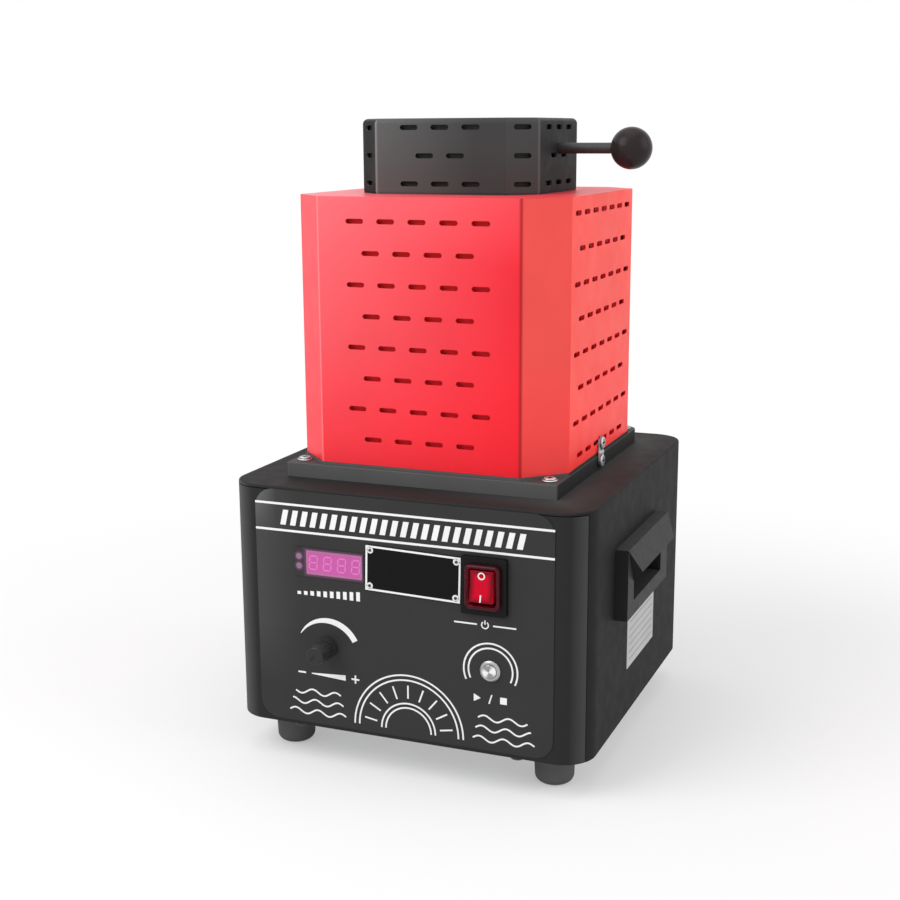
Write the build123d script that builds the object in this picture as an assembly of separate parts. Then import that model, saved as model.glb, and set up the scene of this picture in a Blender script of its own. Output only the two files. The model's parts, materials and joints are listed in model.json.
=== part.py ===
from build123d import *
import math
import os

# A bench-top electric furnace for melting gold: a steel control case, and on its deck an
# octagonal heating tower with a lift-off lid. Millimetres. +Z is up and -Y is the front.
# The origin is on the table, under the middle of the whole object.

# ---------------------------------------------------------------- case
CASE_W = 210.0  # outside, across the side walls
CASE_D = 212.0  # outside, front panel to rear panel
CASE_H = 137.4  # bottom lips to the top sheet
CASE_R = 18.5  # vertical corners, outside
CASE_SHEET = 1.5
TOP_EDGE_R = 1.0  # rounding of the top sheet's edge
SEAM_BACK = 8.5  # how far the end panels wrap round the corners
SEAM_GAP = 0.5  # open joint between an end panel and the cover
LIP_W = 10.0  # bottom lips that carry the base pan
LIP_CORNER = 30.0  # a lip stops this far short of the case's corner
PAN_GAP = 0.2  # base pan to walls
PAN_RIM_H = 8.0
STRIP_T = 1.2  # strips behind the corner seams
STRIP_LAP = 5.0  # a strip reaches this far each side of its seam
PAN_SLOT_W = 3.0
PAN_SLOT_L = 40.0
PAN_SLOT_PITCH = 9.0
PAN_SLOTS = 9

# ---------------------------------------------------------------- feet and small hardware
FOOT_H = 21.3  # below the case
FOOT_R = 11.6
FOOT_TAPER = 0.9  # the foot's bottom is this much smaller in radius
FOOT_ROUND = 4.5
FOOT_IN_X = 25.4  # foot centre from the case's side
FOOT_IN_Y = 26.5  # foot centre from the case's front or rear
FOOT_RECESS_R = 4.6
FOOT_RECESS_D = 8.0
M4_R = 2.0
M4_HOLE_R = 2.2
M4_HEAD_R = 4.25
M4_HEAD_H = 2.8
M4_NUT_AF = 7.0  # across the flats
M4_NUT_H = 3.2
M3_R = 1.5
M3_HOLE_R = 1.7
M3_HEAD_R = 3.0
M3_HEAD_H = 2.0
CROSS_W = 0.3  # screwdriver cross, as a share of the head's radius
CROSS_L = 1.2  # and its length, as a share of the same
CROSS_DEEP = 0.75  # and its depth, as a share of the head's height
HEAD_ROUND = 0.6  # rounding of a pan head, as a share of its height

# ---------------------------------------------------------------- deck tray
TRAY_SIDE = 1.0  # beyond the tower's right and left walls
TRAY_END = 2.5  # beyond its front and rear walls
TRAY_H = 9.7  # to the top of the raised octagon that the tower stands on
TRAY_SHEET = 1.5
TRAY_EDGE_R = 1.2  # front corners
TRAY_REAR_R = 10.0  # rear corners
TRAY_BEND_R = 0.5  # rounding of the top's edge
PLINTH_H = 1.5  # the raised octagon, above the rest of the tray
PLINTH_OUT = 0.4  # and beyond the tower's walls
TRAY_SCREW_IN_X = 7.1  # corner screws from the tray's sides
TRAY_SCREW_IN_Y = 8.9  # and from its front and rear
TRAY_HEAD_R = 3.3
TRAY_HEAD_H = 1.0
WASHER_R = 4.3
WASHER_T = 0.8
WASHER_EDGE = 0.4
FURNACE_BACK = 2.0  # the tower stands this far behind the case's middle
BOARD_GAP = 0.25  # insulating board to the tray round it

# ---------------------------------------------------------------- heating tower
SHELL_W = 158.0
SHELL_D = 162.0
SHELL_H = 146.5
SHELL_LEG = 20.6  # each corner is cut off by this much along both walls
SHELL_T = 1.2
SHELL_BEND_R = 1.4
JACKET_IN = 3.6  # inner jacket from the shell's outside
JACKET_T = 0.8
MOUTH_STEP = 3.0  # the top sheet's hole is this much larger than the collar's bore
SLOT_W = 10.4
SLOT_H = 2.7
FRONT_SLOT_PITCH = 18.1  # along a row, front and rear walls
FRONT_ROW_PITCH = 17.0
FRONT_ROW_TOP = 13.1  # first row below the shell's top
FRONT_SLOTS = (5, 4)  # rows take these counts in turn
SIDE_SLOT_PITCH = 16.1
SIDE_ROW_PITCH = 18.8
SIDE_ROW_TOP = 8.6
SIDE_SLOTS = (7, 6)
SLOT_MARGIN = 5.0  # least distance of a row from the shell's lower edge
STRAP_W = 7.6
STRAP_T = 1.2
STRAP_PITCH = 10.4  # between its two screws
STRAP_TILT = 22.0  # degrees, its lower end towards the front
STRAP_FORWARD = 2.8  # its middle in front of the tower's
STRAP_RISE = 0.2  # its middle above the tower's foot
STRAP_HEAD_R = 3.5
STRAP_HEAD_H = 1.3
STRAP_SCREW_END = 2.0  # a screw's end inside the wall

# ---------------------------------------------------------------- hot parts
BRICK_LAP = 4.5  # brick beyond the coil
BRICK_H = 24.0
CUP_SPACE = 3.5  # crucible to cup
CUP_WALL = 7.0
CUP_FLOOR = 10.0
COIL_TUBE_R = 2.5
COIL_GAP = 1.0  # coil to cup
COIL_PITCH = 10.0
COIL_ABOVE_BRICK = 8.0
COIL_BELOW_RIM = 12.0
LEAD_GAP = 0.5  # lead to brick, and lead to blanket
LEAD_BEND_R = 6.0
BLANKET_GAP = 4.6  # blanket to jacket
BUSHING_R = 5.0
BUSHING_GAP = 0.2
COLLAR_SPACE = 5.0  # crucible's rim to the collar's bore
COLLAR_H = 14.3
PAD_R = 28.0
PAD_H = 4.0
CRUCIBLE_TOP_R = 32.0
CRUCIBLE_FOOT_R = 27.0
CRUCIBLE_DEEP = 6.0  # crucible's rim below the cup's
CRUCIBLE_WALL = 6.0
CRUCIBLE_FLOOR = 8.0
CRUCIBLE_ROUND = 10.0  # inside bottom edge
SPOUT_R = 4.5

# ---------------------------------------------------------------- lid
LID_W = 104.6
LID_D = 96.8
LID_H = 39.8
LID_LEG = 14.4
LID_T = 1.2
LID_EDGE_R = 3.0
LID_BEND_R = 1.2
LID_PLATE_T = 0.9
LID_FIT = 0.2
LID_SLOT_PITCH = 18.0
LID_ROW_TOP = 4.9
LID_ROW_LOW = 4.7  # last row above the lid's lower edge
LID_SLOTS = (3, 2, 3)
LID_BLOCK_IN = 2.6  # refractory block from the lid's outside
LID_BLOCK_GAP = 0.6  # block to the lid's top sheet
PLUG_GAP = 2.5  # plug to the collar's bore
PLUG_H = 9.5  # plug below the lid's plate
ROD_R = 3.0
ROD_BELOW_TOP = 16.5
ROD_THREAD_R = 2.5  # the rod's threaded end
ROD_INSIDE = 4.0  # rod end inside the lid's wall
ROD_POCKET_R = 6.5  # room for the nut and the rod's end in the block
ROD_POCKET_GAP = 1.0
BALL_R = 11.5
BALL_OUT = 41.5  # ball centre from the lid's side wall
BALL_BORE_D = 14.0
ROD_NUT_AF = 9.0
ROD_NUT_H = 3.0

# ---------------------------------------------------------------- front label and its parts
LABEL_SIDE = 18.0  # bare panel at each side of the label
LABEL_DOWN = 1.4  # label's top below the case's top
LABEL_R = 11.0
LABEL_T = 0.4
LABEL_UP = 2.0  # label's bottom above the case's bottom
WINDOW_W = 41.9
WINDOW_H = 16.6
WINDOW_X = -42.15
WINDOW_UP = 96.3  # window centre above the case's bottom
WINDOW_PROUD = 0.4
MODULE_W = 34.2
MODULE_H = 14.0
MODULE_D = 8.0
MODULE_X = -39.35
LED_R = 1.75
LED_X = -60.45
LED_PITCH = 5.5
LED_RISE = 0.3  # the lamps' middle above the window's
LED_LEN = 7.0
CONTROL_W = 56.0
CONTROL_H = 30.0
CONTROL_T = 1.6
SPACER_R = 2.6
SPACER_IN = 3.4
PLATE_W = 55.2
PLATE_H = 25.2
PLATE_T = 1.0
PLATE_X = 7.8
PLATE_UP = 96.7
PLATE_TILT = 1.5  # degrees clockwise, as it was put on by hand
RIVET_R = 0.8
RIVET_SHANK_R = 0.5
RIVET_HEAD_H = 0.5
RIVET_IN = 2.6

# ---------------------------------------------------------------- power switch
SWITCH_X = 48.8
SWITCH_UP = 94.6
BEZEL_LAP_X = 1.85  # bezel beyond the housing at the sides
BEZEL_LAP_Z = 2.0  # and at the top and bottom
BEZEL_PROUD = 2.5
BEZEL_R = 1.2
SWITCH_BODY_W = 21.8
SWITCH_BODY_H = 27.6
SWITCH_BODY_D = 24.0
SWITCH_WELL_D = 12.0  # hollow behind the bezel, for the rocker
BOOT_IN_X = 1.1  # boot from the housing's sides
BOOT_IN_Z = 1.7  # and from its top and bottom
BOOT_WALL = 1.2
BOOT_PROUD = 3.0  # in front of the bezel
BOOT_R = 3.0
BOOT_ROUND = 1.0  # rounding of the rim's outer front edge
BOOT_SEAT = 1.6  # boot's seat behind the panel's front
ROCKER_GAP_X = 2.2  # rocker to the boot's inside
ROCKER_GAP_Z = 2.5
ROCKER_OUT = 6.5  # rocker's ends in front of its pivot
ROCKER_BACK = 4.0
ROCKER_DIP = 1.0  # the face is this much lower in the middle
ROCKER_TILT = 8.0  # degrees each way
ROCKER_EDGE_R = 0.6
PIVOT_OUT = 0.5  # pivot in front of the panel
PIVOT_R = 1.0
PIVOT_GAP = 0.05
TERMINAL_W = 6.3
TERMINAL_T = 0.8
TERMINAL_L = 7.5
TERMINAL_PITCH_X = 10.9
TERMINAL_PITCH_Z = 13.8

# ---------------------------------------------------------------- knob and its control
KNOB_X = -44.1
KNOB_UP = 48.4
KNOB_R = 5.8
KNOB_TIP_R = 5.1
KNOB_REACH = 17.0  # knob's tip in front of the panel
KNOB_GAP = 0.6  # knob to label
KNOB_CAVITY_GAP = 0.3  # round the nut
KNOB_CAVITY_CLEAR = 1.4  # in front of the threaded bushing
KNOB_BORE_END = 4.0  # spindle's end to the knob's tip
KNOB_NOTCH_W = 0.9  # pointer groove
KNOB_NOTCH_D = 0.6
KNOB_FLUTES = 18
KNOB_FLUTE_R = 0.35
KNOB_FLUTE_IN = 0.25  # a flute's middle inside the knob's foot radius
KNOB_FLUTE_L = 8.0
KNOB_EDGE_R = 0.7
KNOB_TURN = 270.0  # degrees
POT_R = 8.5
POT_D = 9.0
POT_BUSH_R = 3.0
POT_BUSH_OUT = 3.6  # threaded bushing in front of the panel
POT_NUT_AF = 8.0
POT_NUT_H = 2.0
SPINDLE_R = 2.0
SPINDLE_GAP = 0.05

# ---------------------------------------------------------------- start button
BUTTON_X = 51.9
BUTTON_UP = 47.7
BUTTON_RING_LAP = 0.8  # ring beyond the barrel
BUTTON_PROUD = 1.5
BUTTON_CHAMFER = 0.7
BUTTON_BARREL_R = 5.0
BUTTON_BARREL_L = 22.0
BUTTON_WALL = 0.9
BUTTON_CAP_GAP = 0.1
BUTTON_CAP_EDGE_R = 0.66
BUTTON_CAP_SHOWS = 0.2  # cap in front of its ring when fully pressed
BUTTON_CAP_L = 8.0
BUTTON_TRAVEL = 1.0
BUTTON_WELL = 16.0
BUTTON_NUT_LAP = 1.5  # nut beyond the barrel
BUTTON_NUT_H = 2.5
SPRING_R = 2.6
SPRING_WALL = 0.75

# ---------------------------------------------------------------- side grips
GRIP_L = 89.0  # along Y
GRIP_H = 40.0
GRIP_PROUD = 7.4
GRIP_UP = 66.0  # grip's bottom above the case's bottom
GRIP_BACK = 95.0  # grip's middle behind the front panel
GRIP_WINDOW_FRONT = 12.5  # window from the grip's front end
GRIP_WINDOW_REAR = 15.5
GRIP_WINDOW_LOW = 8.5
GRIP_CEILING = 4.6  # window's top below the grip's top
GRIP_WALL = 2.0
GRIP_DEPTH = 22.0  # pocket behind the side wall
HOOD_OUT = 6.1  # hood's lip beyond the grip's face
HOOD_DROP = 13.0  # lip below the grip's top
HOOD_FRONT = 7.4  # lip stops this far short of the grip's front end
HOOD_REAR = 8.7  # and of its rear end
HOOD_FOOT = 20.0  # hood's lower edge on the face, below the top
HOOD_FOOT_FRONT = 11.8  # that edge stops this far short of the front end
HOOD_FOOT_REAR = 1.0  # and of the rear end
HOOD_T = 1.8

# ---------------------------------------------------------------- rear panel
REAR_REACH = 5.0  # fuse cap behind the rear panel
FAN_SIZE = 80.0
FAN_D = 25.0
FAN_X = -35.0
FAN_UP = 64.0
FAN_RIM = 2.5  # frame beside its bore
FAN_CORNER_R = 4.0
FAN_HOLE_IN = 4.25  # screw from the frame's edges
FAN_HUB_R = 17.0
FAN_HUB_L = 17.0
FAN_BLADES = 7
FAN_BLADE_GAP = 1.0
FAN_BLADE_T = 1.4
FAN_BLADE_L = 15.0
FAN_PITCH = 38.0  # degrees
FAN_PLATE_T = 3.0
FAN_STRUT_W = 4.0
FAN_STRUTS = 4
FAN_SHAFT_R = 1.5
FAN_SHAFT_GAP = 0.05
FAN_BOSS_R = 4.0
FAN_BOSS_L = 7.0
GRILLE_HOLE_R = 2.6
GRILLE_PITCH = 7.0
VENT_X = 58.0
VENT_DOWN = 19.4  # vents' middle below the case's top
VENT_W = 3.0
VENT_L = 20.0
VENT_PITCH = 8.0
VENTS = 8
INLET_X = 58.0
INLET_UP = 52.0
INLET_W = 27.0
INLET_H = 20.0
INLET_D = 22.0
INLET_FLANGE_W = 50.0
INLET_FLANGE_H = 22.6
INLET_FLANGE_T = 3.0
INLET_FLANGE_R = 3.3
INLET_WALL = 1.6
INLET_RECESS = 16.0
INLET_SCREWS = 40.0
INLET_SCREW_L = 8.0
PIN_W = 4.0
PIN_T = 2.0
PIN_L = 14.0
PIN_PITCH = 14.0
PIN_RISE = 4.0
FUSE_X = 58.0
FUSE_UP = 90.0
FUSE_R = 6.0
FUSE_L = 32.0
FUSE_FLANGE_R = 8.5
FUSE_FLANGE_T = 2.0
FUSE_CAP_R = 6.6
FUSE_SLOT_L = 9.9
FUSE_SLOT_W = 1.6
FUSE_SLOT_D = 0.8

# ---------------------------------------------------------------- power electronics
PCB_W = 120.0
PCB_D = 125.0
PCB_T = 1.6
PCB_FRONT = 25.0  # board's front edge behind the front panel
PCB_POST_H = 8.0
PCB_POST_R = 3.0
PCB_POST_IN = 5.0
SINK_W = 24.0
SINK_L = 58.0
SINK_H = 40.0
SINK_X = 24.0  # centre, each side
SINK_BACK = 88.0  # front end behind the front panel
SINK_BASE = 5.0
SINK_FINS = 6
SINK_FIN_T = 1.6
CAP_W = 12.0
CAP_L = 24.0
CAP_H = 22.0
CAP_PITCH = 14.0
CAP_COUNT = 5
CAP_BACK = 74.0
FILTER_R = 11.0
FILTER_EDGE_R = 1.4
FILTER_H = 38.0
FILTER_X = 15.0
FILTER_BACK = 43.0
LUG_SIZE = 14.0
WIRE_R = 1.3
WIRE_BEND_R = 10.0
WIRE_PITCH = 6.0
WIRE_STUB = 20.0  # straight off the inlet's blade
WIRE_SLANT = 30.0  # length of the crossing to the switch's side
WIRE_RISES = (20.0, 30.0)  # where each wire climbs, behind the switch's tabs

# ---------------------------------------------------------------- places worked out from the sizes
FRONT_Y = (KNOB_REACH - CASE_D - REAR_REACH) / 2
REAR_Y = FRONT_Y + CASE_D
CASE_Y = (FRONT_Y + REAR_Y) / 2
SIDE_X = CASE_W / 2
LABEL_W = CASE_W - 2 * LABEL_SIDE
LABEL_H = CASE_H - LABEL_UP - LABEL_DOWN
TRAY_W = SHELL_W + 2 * TRAY_SIDE
TRAY_D = SHELL_D + 2 * TRAY_END
CUP_H = SHELL_H - SHELL_T - BRICK_H - COLLAR_H
CUP_R = CRUCIBLE_TOP_R + CUP_SPACE + CUP_WALL
CRUCIBLE_H = CUP_H - CUP_FLOOR - PAD_H - CRUCIBLE_DEEP
COIL_R = CUP_R + COIL_GAP + COIL_TUBE_R
COIL_TURNS = (CUP_H - COIL_ABOVE_BRICK - COIL_BELOW_RIM) // COIL_PITCH + 0.5
BRICK_R = COIL_R + COIL_TUBE_R + BRICK_LAP
LEAD_FROM_MIDDLE = BRICK_R + LEAD_GAP + COIL_TUBE_R
BLANKET_IN_R = LEAD_FROM_MIDDLE + COIL_TUBE_R + LEAD_GAP
BLANKET_R = min(SHELL_W, SHELL_D) / 2 - JACKET_IN - JACKET_T - BLANKET_GAP
COLLAR_BORE_R = CRUCIBLE_TOP_R + COLLAR_SPACE
MOUTH_R = COLLAR_BORE_R + MOUTH_STEP
PLUG_R = COLLAR_BORE_R - PLUG_GAP
LID_BLOCK_H = LID_H - LID_T - LID_BLOCK_GAP
BEZEL_W = SWITCH_BODY_W + 2 * BEZEL_LAP_X
BEZEL_H = SWITCH_BODY_H + 2 * BEZEL_LAP_Z
BOOT_W = SWITCH_BODY_W - 2 * BOOT_IN_X
BOOT_H = SWITCH_BODY_H - 2 * BOOT_IN_Z
ROCKER_W = BOOT_W - 2 * (BOOT_WALL + ROCKER_GAP_X)
ROCKER_H = BOOT_H - 2 * (BOOT_WALL + ROCKER_GAP_Z)
KNOB_CAVITY_R = POT_NUT_AF / math.sqrt(3) + KNOB_CAVITY_GAP
KNOB_CAVITY_D = POT_BUSH_OUT - LABEL_T - KNOB_GAP + KNOB_CAVITY_CLEAR
BUTTON_RING_R = BUTTON_BARREL_R + BUTTON_RING_LAP
BUTTON_CAP_R = BUTTON_BARREL_R - BUTTON_WALL - BUTTON_CAP_GAP
BUTTON_NUT_AF = 2 * (BUTTON_BARREL_R + BUTTON_NUT_LAP)
FAN_BORE_R = FAN_SIZE / 2 - FAN_RIM
FAN_HOLES = FAN_SIZE - 2 * FAN_HOLE_IN
CASE_Z0 = FOOT_H
CASE_Z1 = CASE_Z0 + CASE_H
PAN_Z0 = CASE_Z0 + CASE_SHEET
PAN_Z1 = PAN_Z0 + CASE_SHEET
PANEL_Z1 = CASE_Z1 - CASE_SHEET - SEAM_GAP
LABEL_Y = FRONT_Y - LABEL_T
PANEL_BACK = FRONT_Y + CASE_SHEET
REAR_IN = REAR_Y - CASE_SHEET
FURNACE_Y = CASE_Y + FURNACE_BACK
TRAY_Z1 = CASE_Z1 + TRAY_H
TRAY_FLAT_Z = TRAY_Z1 - PLINTH_H
SHELL_Z1 = TRAY_Z1 + SHELL_H
BRICK_Z1 = TRAY_Z1 + BRICK_H
CUP_Z1 = BRICK_Z1 + CUP_H
COLLAR_Z1 = SHELL_Z1 - SHELL_T
PAD_Z0 = BRICK_Z1 + CUP_FLOOR
CRUCIBLE_Z0 = PAD_Z0 + PAD_H
CRUCIBLE_Z1 = CRUCIBLE_Z0 + CRUCIBLE_H
COIL_Z0 = BRICK_Z1 + COIL_ABOVE_BRICK
COIL_Z1 = COIL_Z0 + COIL_TURNS * COIL_PITCH
LEAD_Y = FURNACE_Y - math.sqrt(LEAD_FROM_MIDDLE**2 - COIL_R**2)
LID_Z0 = SHELL_Z1 + LID_PLATE_T
LID_Z1 = LID_Z0 + LID_H
PLUG_Z0 = SHELL_Z1 - PLUG_H
VENT_Z = CASE_Z1 - VENT_DOWN
ROD_Z = LID_Z1 - ROD_BELOW_TOP
BALL_X = LID_W / 2 + BALL_OUT
WINDOW_Z = CASE_Z0 + WINDOW_UP
PLATE_Z = CASE_Z0 + PLATE_UP
SWITCH_Z = CASE_Z0 + SWITCH_UP
PIVOT_Y = FRONT_Y - PIVOT_OUT
KNOB_Z = CASE_Z0 + KNOB_UP
BUTTON_Z = CASE_Z0 + BUTTON_UP
BUTTON_CAP_PROUD = BUTTON_TRAVEL + BUTTON_CAP_SHOWS
KNOB_REST = 90 + KNOB_TURN / 2  # the pointer's place when turned fully down
GRIP_Y = FRONT_Y + GRIP_BACK
GRIP_Z0 = CASE_Z0 + GRIP_UP
GRIP_Z1 = GRIP_Z0 + GRIP_H
FAN_Z = CASE_Z0 + FAN_UP
INLET_Z = CASE_Z0 + INLET_UP
FUSE_Z = CASE_Z0 + FUSE_UP
PCB_Z0 = PAN_Z1 + PCB_POST_H
PCB_Z1 = PCB_Z0 + PCB_T
PCB_Y = FRONT_Y + PCB_FRONT + PCB_D / 2
LUG_Z1 = PCB_Z1 + LUG_SIZE


# ---------------------------------------------------------------- helpers
def box(x0, x1, y0, y1, z0, z1):
    return Pos((x0 + x1) / 2, (y0 + y1) / 2, (z0 + z1) / 2) * Box(x1 - x0, y1 - y0, z1 - z0)


def along_x(sketch, x0, x1):
    """A prism of a sketch drawn in Y and Z."""
    return extrude(Plane.YZ.offset(x0) * sketch, amount=x1 - x0, dir=(1, 0, 0))


def along_y(sketch, y0, y1):
    """A prism of a sketch drawn in X and Z."""
    return extrude(Plane.XZ.offset(-y0) * sketch, amount=y1 - y0, dir=(0, 1, 0))


def along_z(sketch, z0, z1):
    return extrude(Plane.XY.offset(z0) * sketch, amount=z1 - z0, dir=(0, 0, 1))


def disc_x(r, y, z, x0, x1):
    return along_x(Pos(y, z) * Circle(r), x0, x1)


def disc_y(r, x, z, y0, y1):
    return along_y(Pos(x, z) * Circle(r), y0, y1)


def disc_z(r, x, y, z0, z1):
    return along_z(Pos(x, y) * Circle(r), z0, z1)


def group(shapes):
    """Separate solids that share one node."""
    return Compound([solid for shape in shapes for solid in shape.solids()])


def spread(count, pitch):
    """Centres of count things, pitch apart, about 0."""
    return [(i - (count - 1) / 2) * pitch for i in range(count)]


def case_outline(inset):
    outline = RectangleRounded(CASE_W - 2 * inset, CASE_D - 2 * inset, CASE_R - inset)
    return Pos(0, CASE_Y) * outline


def case_ring(inset, wall, z0, z1):
    return along_z(case_outline(inset) - case_outline(inset + wall), z0, z1)


def octagon(width, depth, leg, corner_r, inset):
    """A rectangle with cut corners, rounded a little, and drawn in by inset all round."""
    x = width / 2 - inset
    y = depth / 2 - inset
    cut = leg - inset * (2 - math.sqrt(2))
    quarter = [(x, y - cut), (x - cut, y)]
    points = quarter + [(-a, b) for a, b in reversed(quarter)]
    points += [(-a, -b) for a, b in quarter] + [(a, -b) for a, b in reversed(quarter)]
    face = Polygon(*points, align=None)
    return Pos(0, FURNACE_Y) * fillet(face.vertices(), corner_r)


def screw(head_r, head_h, shank_r, length):
    """A pan-head screw with a cross recess. Its head stands on Z 0 and its shank goes down."""
    head = disc_z(head_r, 0, 0, 0, head_h)
    head = fillet(head.edges().group_by(Axis.Z)[-1], head_h * HEAD_ROUND)
    arm = head_r * CROSS_W
    reach = head_r * CROSS_L
    deep = 2 * head_h * CROSS_DEEP
    cross = Pos(0, 0, head_h) * (Box(reach, arm, deep) + Box(arm, reach, deep))
    return head - cross + disc_z(shank_r, 0, 0, -length, 0)


def nut(across_flats, hole_r, height):
    """A hexagon nut on Z 0."""
    hexagon = RegularPolygon(across_flats / 2, 6, major_radius=False)
    return along_z(hexagon - Circle(hole_r), 0, height)


def hollow_disc(outer_r, hole_r, height):
    return along_z(Circle(outer_r) - Circle(hole_r), 0, height)


FACING_FRONT = Rot(90, 0, 0)  # turns a thing's top to -Y
FACING_REAR = Rot(-90, 0, 0)
FACING_RIGHT = Rot(0, 90, 0)
FACING_LEFT = Rot(0, -90, 0)
FACING_DOWN = Rot(180, 0, 0)


# ---------------------------------------------------------------- case
def foot_places():
    x = SIDE_X - FOOT_IN_X
    return [(a, b) for a in (-x, x) for b in (FRONT_Y + FOOT_IN_Y, REAR_Y - FOOT_IN_Y)]


def lip_places():
    """Screws that hold the cover's and the panels' bottom lips to the base pan."""
    side = SIDE_X - CASE_SHEET - LIP_W / 2
    end = CASE_D / 2 - CASE_SHEET - LIP_W / 2
    reach_y = CASE_D / 2 - LIP_CORNER - LIP_W
    reach_x = SIDE_X - LIP_CORNER - LIP_W
    places = [(x, CASE_Y + y) for x in (-side, side) for y in (-reach_y, 0, reach_y)]
    return places + [(x, CASE_Y + y) for x in (-reach_x, reach_x) for y in (-end, end)]


def tray_screw_places():
    x = TRAY_W / 2 - TRAY_SCREW_IN_X
    y = TRAY_D / 2 - TRAY_SCREW_IN_Y
    return [(a, FURNACE_Y + b) for a in (-x, x) for b in (-y, y)]


def lead_places():
    return [(-COIL_R, LEAD_Y), (COIL_R, LEAD_Y)]


def grip_opening(sign, clearance):
    """The hole in the side wall that the grip's pocket goes through."""
    y0 = GRIP_Y - GRIP_L / 2 + GRIP_WINDOW_FRONT - GRIP_WALL - clearance
    y1 = GRIP_Y + GRIP_L / 2 - GRIP_WINDOW_REAR + GRIP_WALL + clearance
    z0 = GRIP_Z0 + GRIP_WINDOW_LOW - GRIP_WALL - clearance
    z1 = GRIP_Z1 - GRIP_CEILING + GRIP_WALL + clearance
    x0, x1 = sorted((sign * (SIDE_X - GRIP_DEPTH), sign * SIDE_X))
    return box(x0, x1, y0, y1, z0, z1)


def deck_holes(shape, z0, z1, lead_r):
    holes = [disc_z(M4_HOLE_R, x, y, z0, z1) for x, y in tray_screw_places()]
    holes += [disc_z(lead_r, x, y, z0, z1) for x, y in lead_places()]
    return shape - holes


def case_cover():
    """Top sheet, side walls and bottom lips, bent from one sheet."""
    front = FRONT_Y + SEAM_BACK + SEAM_GAP
    rear = REAR_Y - SEAM_BACK - SEAM_GAP
    walls = case_ring(0, CASE_SHEET, CASE_Z0, CASE_Z1 - CASE_SHEET)
    walls &= box(-CASE_W, CASE_W, front, rear, CASE_Z0, CASE_Z1)
    top = along_z(case_outline(0), CASE_Z1 - CASE_SHEET, CASE_Z1)
    top = fillet(top.edges().group_by(Axis.Z)[-1], TOP_EDGE_R)
    cover = top + walls
    inner = SIDE_X - CASE_SHEET
    y0 = FRONT_Y + LIP_CORNER
    y1 = REAR_Y - LIP_CORNER
    for sign in (-1, 1):
        edges = sorted((sign * inner, sign * (inner - LIP_W)))
        cover += box(*edges, y0, y1, CASE_Z0, PAN_Z0)
        cover -= grip_opening(sign, PAN_GAP)
    cover -= [disc_z(M4_HOLE_R, x, y, CASE_Z0, PAN_Z0) for x, y in lip_places()]
    return deck_holes(cover, CASE_Z1 - CASE_SHEET, CASE_Z1, BUSHING_R + BUSHING_GAP)


def end_panel(wall_y, inward):
    """A front or rear panel that wraps the corners, with a bottom lip. inward is +1 at the front."""
    y0, y1 = sorted((wall_y, wall_y + inward * SEAM_BACK))
    panel = case_ring(0, CASE_SHEET, CASE_Z0, PANEL_Z1)
    panel &= box(-CASE_W, CASE_W, y0, y1, CASE_Z0, CASE_Z1)
    inner = wall_y + inward * CASE_SHEET
    y0, y1 = sorted((inner, inner + inward * LIP_W))
    reach = SIDE_X - LIP_CORNER
    panel += box(-reach, reach, y0, y1, CASE_Z0, PAN_Z0)
    return panel - [disc_z(M4_HOLE_R, x, y, CASE_Z0, PAN_Z0) for x, y in lip_places()]


def front_panel():
    """Cut out for the display, the switch, the knob's control and the start button."""
    y0, y1 = FRONT_Y, PANEL_BACK
    cuts = [
        along_y(Pos(WINDOW_X, WINDOW_Z) * Rectangle(WINDOW_W, WINDOW_H), y0, y1),
        along_y(Pos(SWITCH_X, SWITCH_Z) * Rectangle(SWITCH_BODY_W, SWITCH_BODY_H), y0, y1),
        disc_y(POT_BUSH_R, KNOB_X, KNOB_Z, y0, y1),
        disc_y(BUTTON_BARREL_R, BUTTON_X, BUTTON_Z, y0, y1),
    ]
    return end_panel(FRONT_Y, 1) - cuts


def grille_places():
    """A triangular grid of holes inside the fan's bore."""
    places = []
    reach = FAN_BORE_R - GRILLE_HOLE_R
    rows = int(FAN_BORE_R // (GRILLE_PITCH * math.sin(math.pi / 3)))
    for row in range(-rows, rows + 1):
        z = row * GRILLE_PITCH * math.sin(math.pi / 3)
        for x in spread(2 * rows + 2 - abs(row) % 2, GRILLE_PITCH):
            if math.hypot(x, z) <= reach:
                places.append((FAN_X + x, FAN_Z + z))
    return places


def fan_screw_places():
    half = FAN_HOLES / 2
    return [(FAN_X + x, FAN_Z + z) for x in (-half, half) for z in (-half, half)]


def rear_panel():
    """Cut out for the fan's grille and screws, the power inlet, the fuse and the vents."""
    y0, y1 = REAR_IN, REAR_Y
    cuts = [disc_y(GRILLE_HOLE_R, x, z, y0, y1) for x, z in grille_places()]
    cuts += [disc_y(M4_HOLE_R, x, z, y0, y1) for x, z in fan_screw_places()]
    cuts.append(along_y(Pos(INLET_X, INLET_Z) * Rectangle(INLET_W, INLET_H), y0, y1))
    cuts += [disc_y(M3_HOLE_R, x, INLET_Z, y0, y1) for x in inlet_screw_xs()]
    cuts.append(disc_y(FUSE_R, FUSE_X, FUSE_Z, y0, y1))
    for x in spread(VENTS, VENT_PITCH):
        vent = Pos(VENT_X + x, VENT_Z) * Rot(0, 0, 90) * SlotOverall(VENT_L, VENT_W)
        cuts.append(along_y(vent, y0, y1))
    return end_panel(REAR_Y, -1) - cuts


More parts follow.
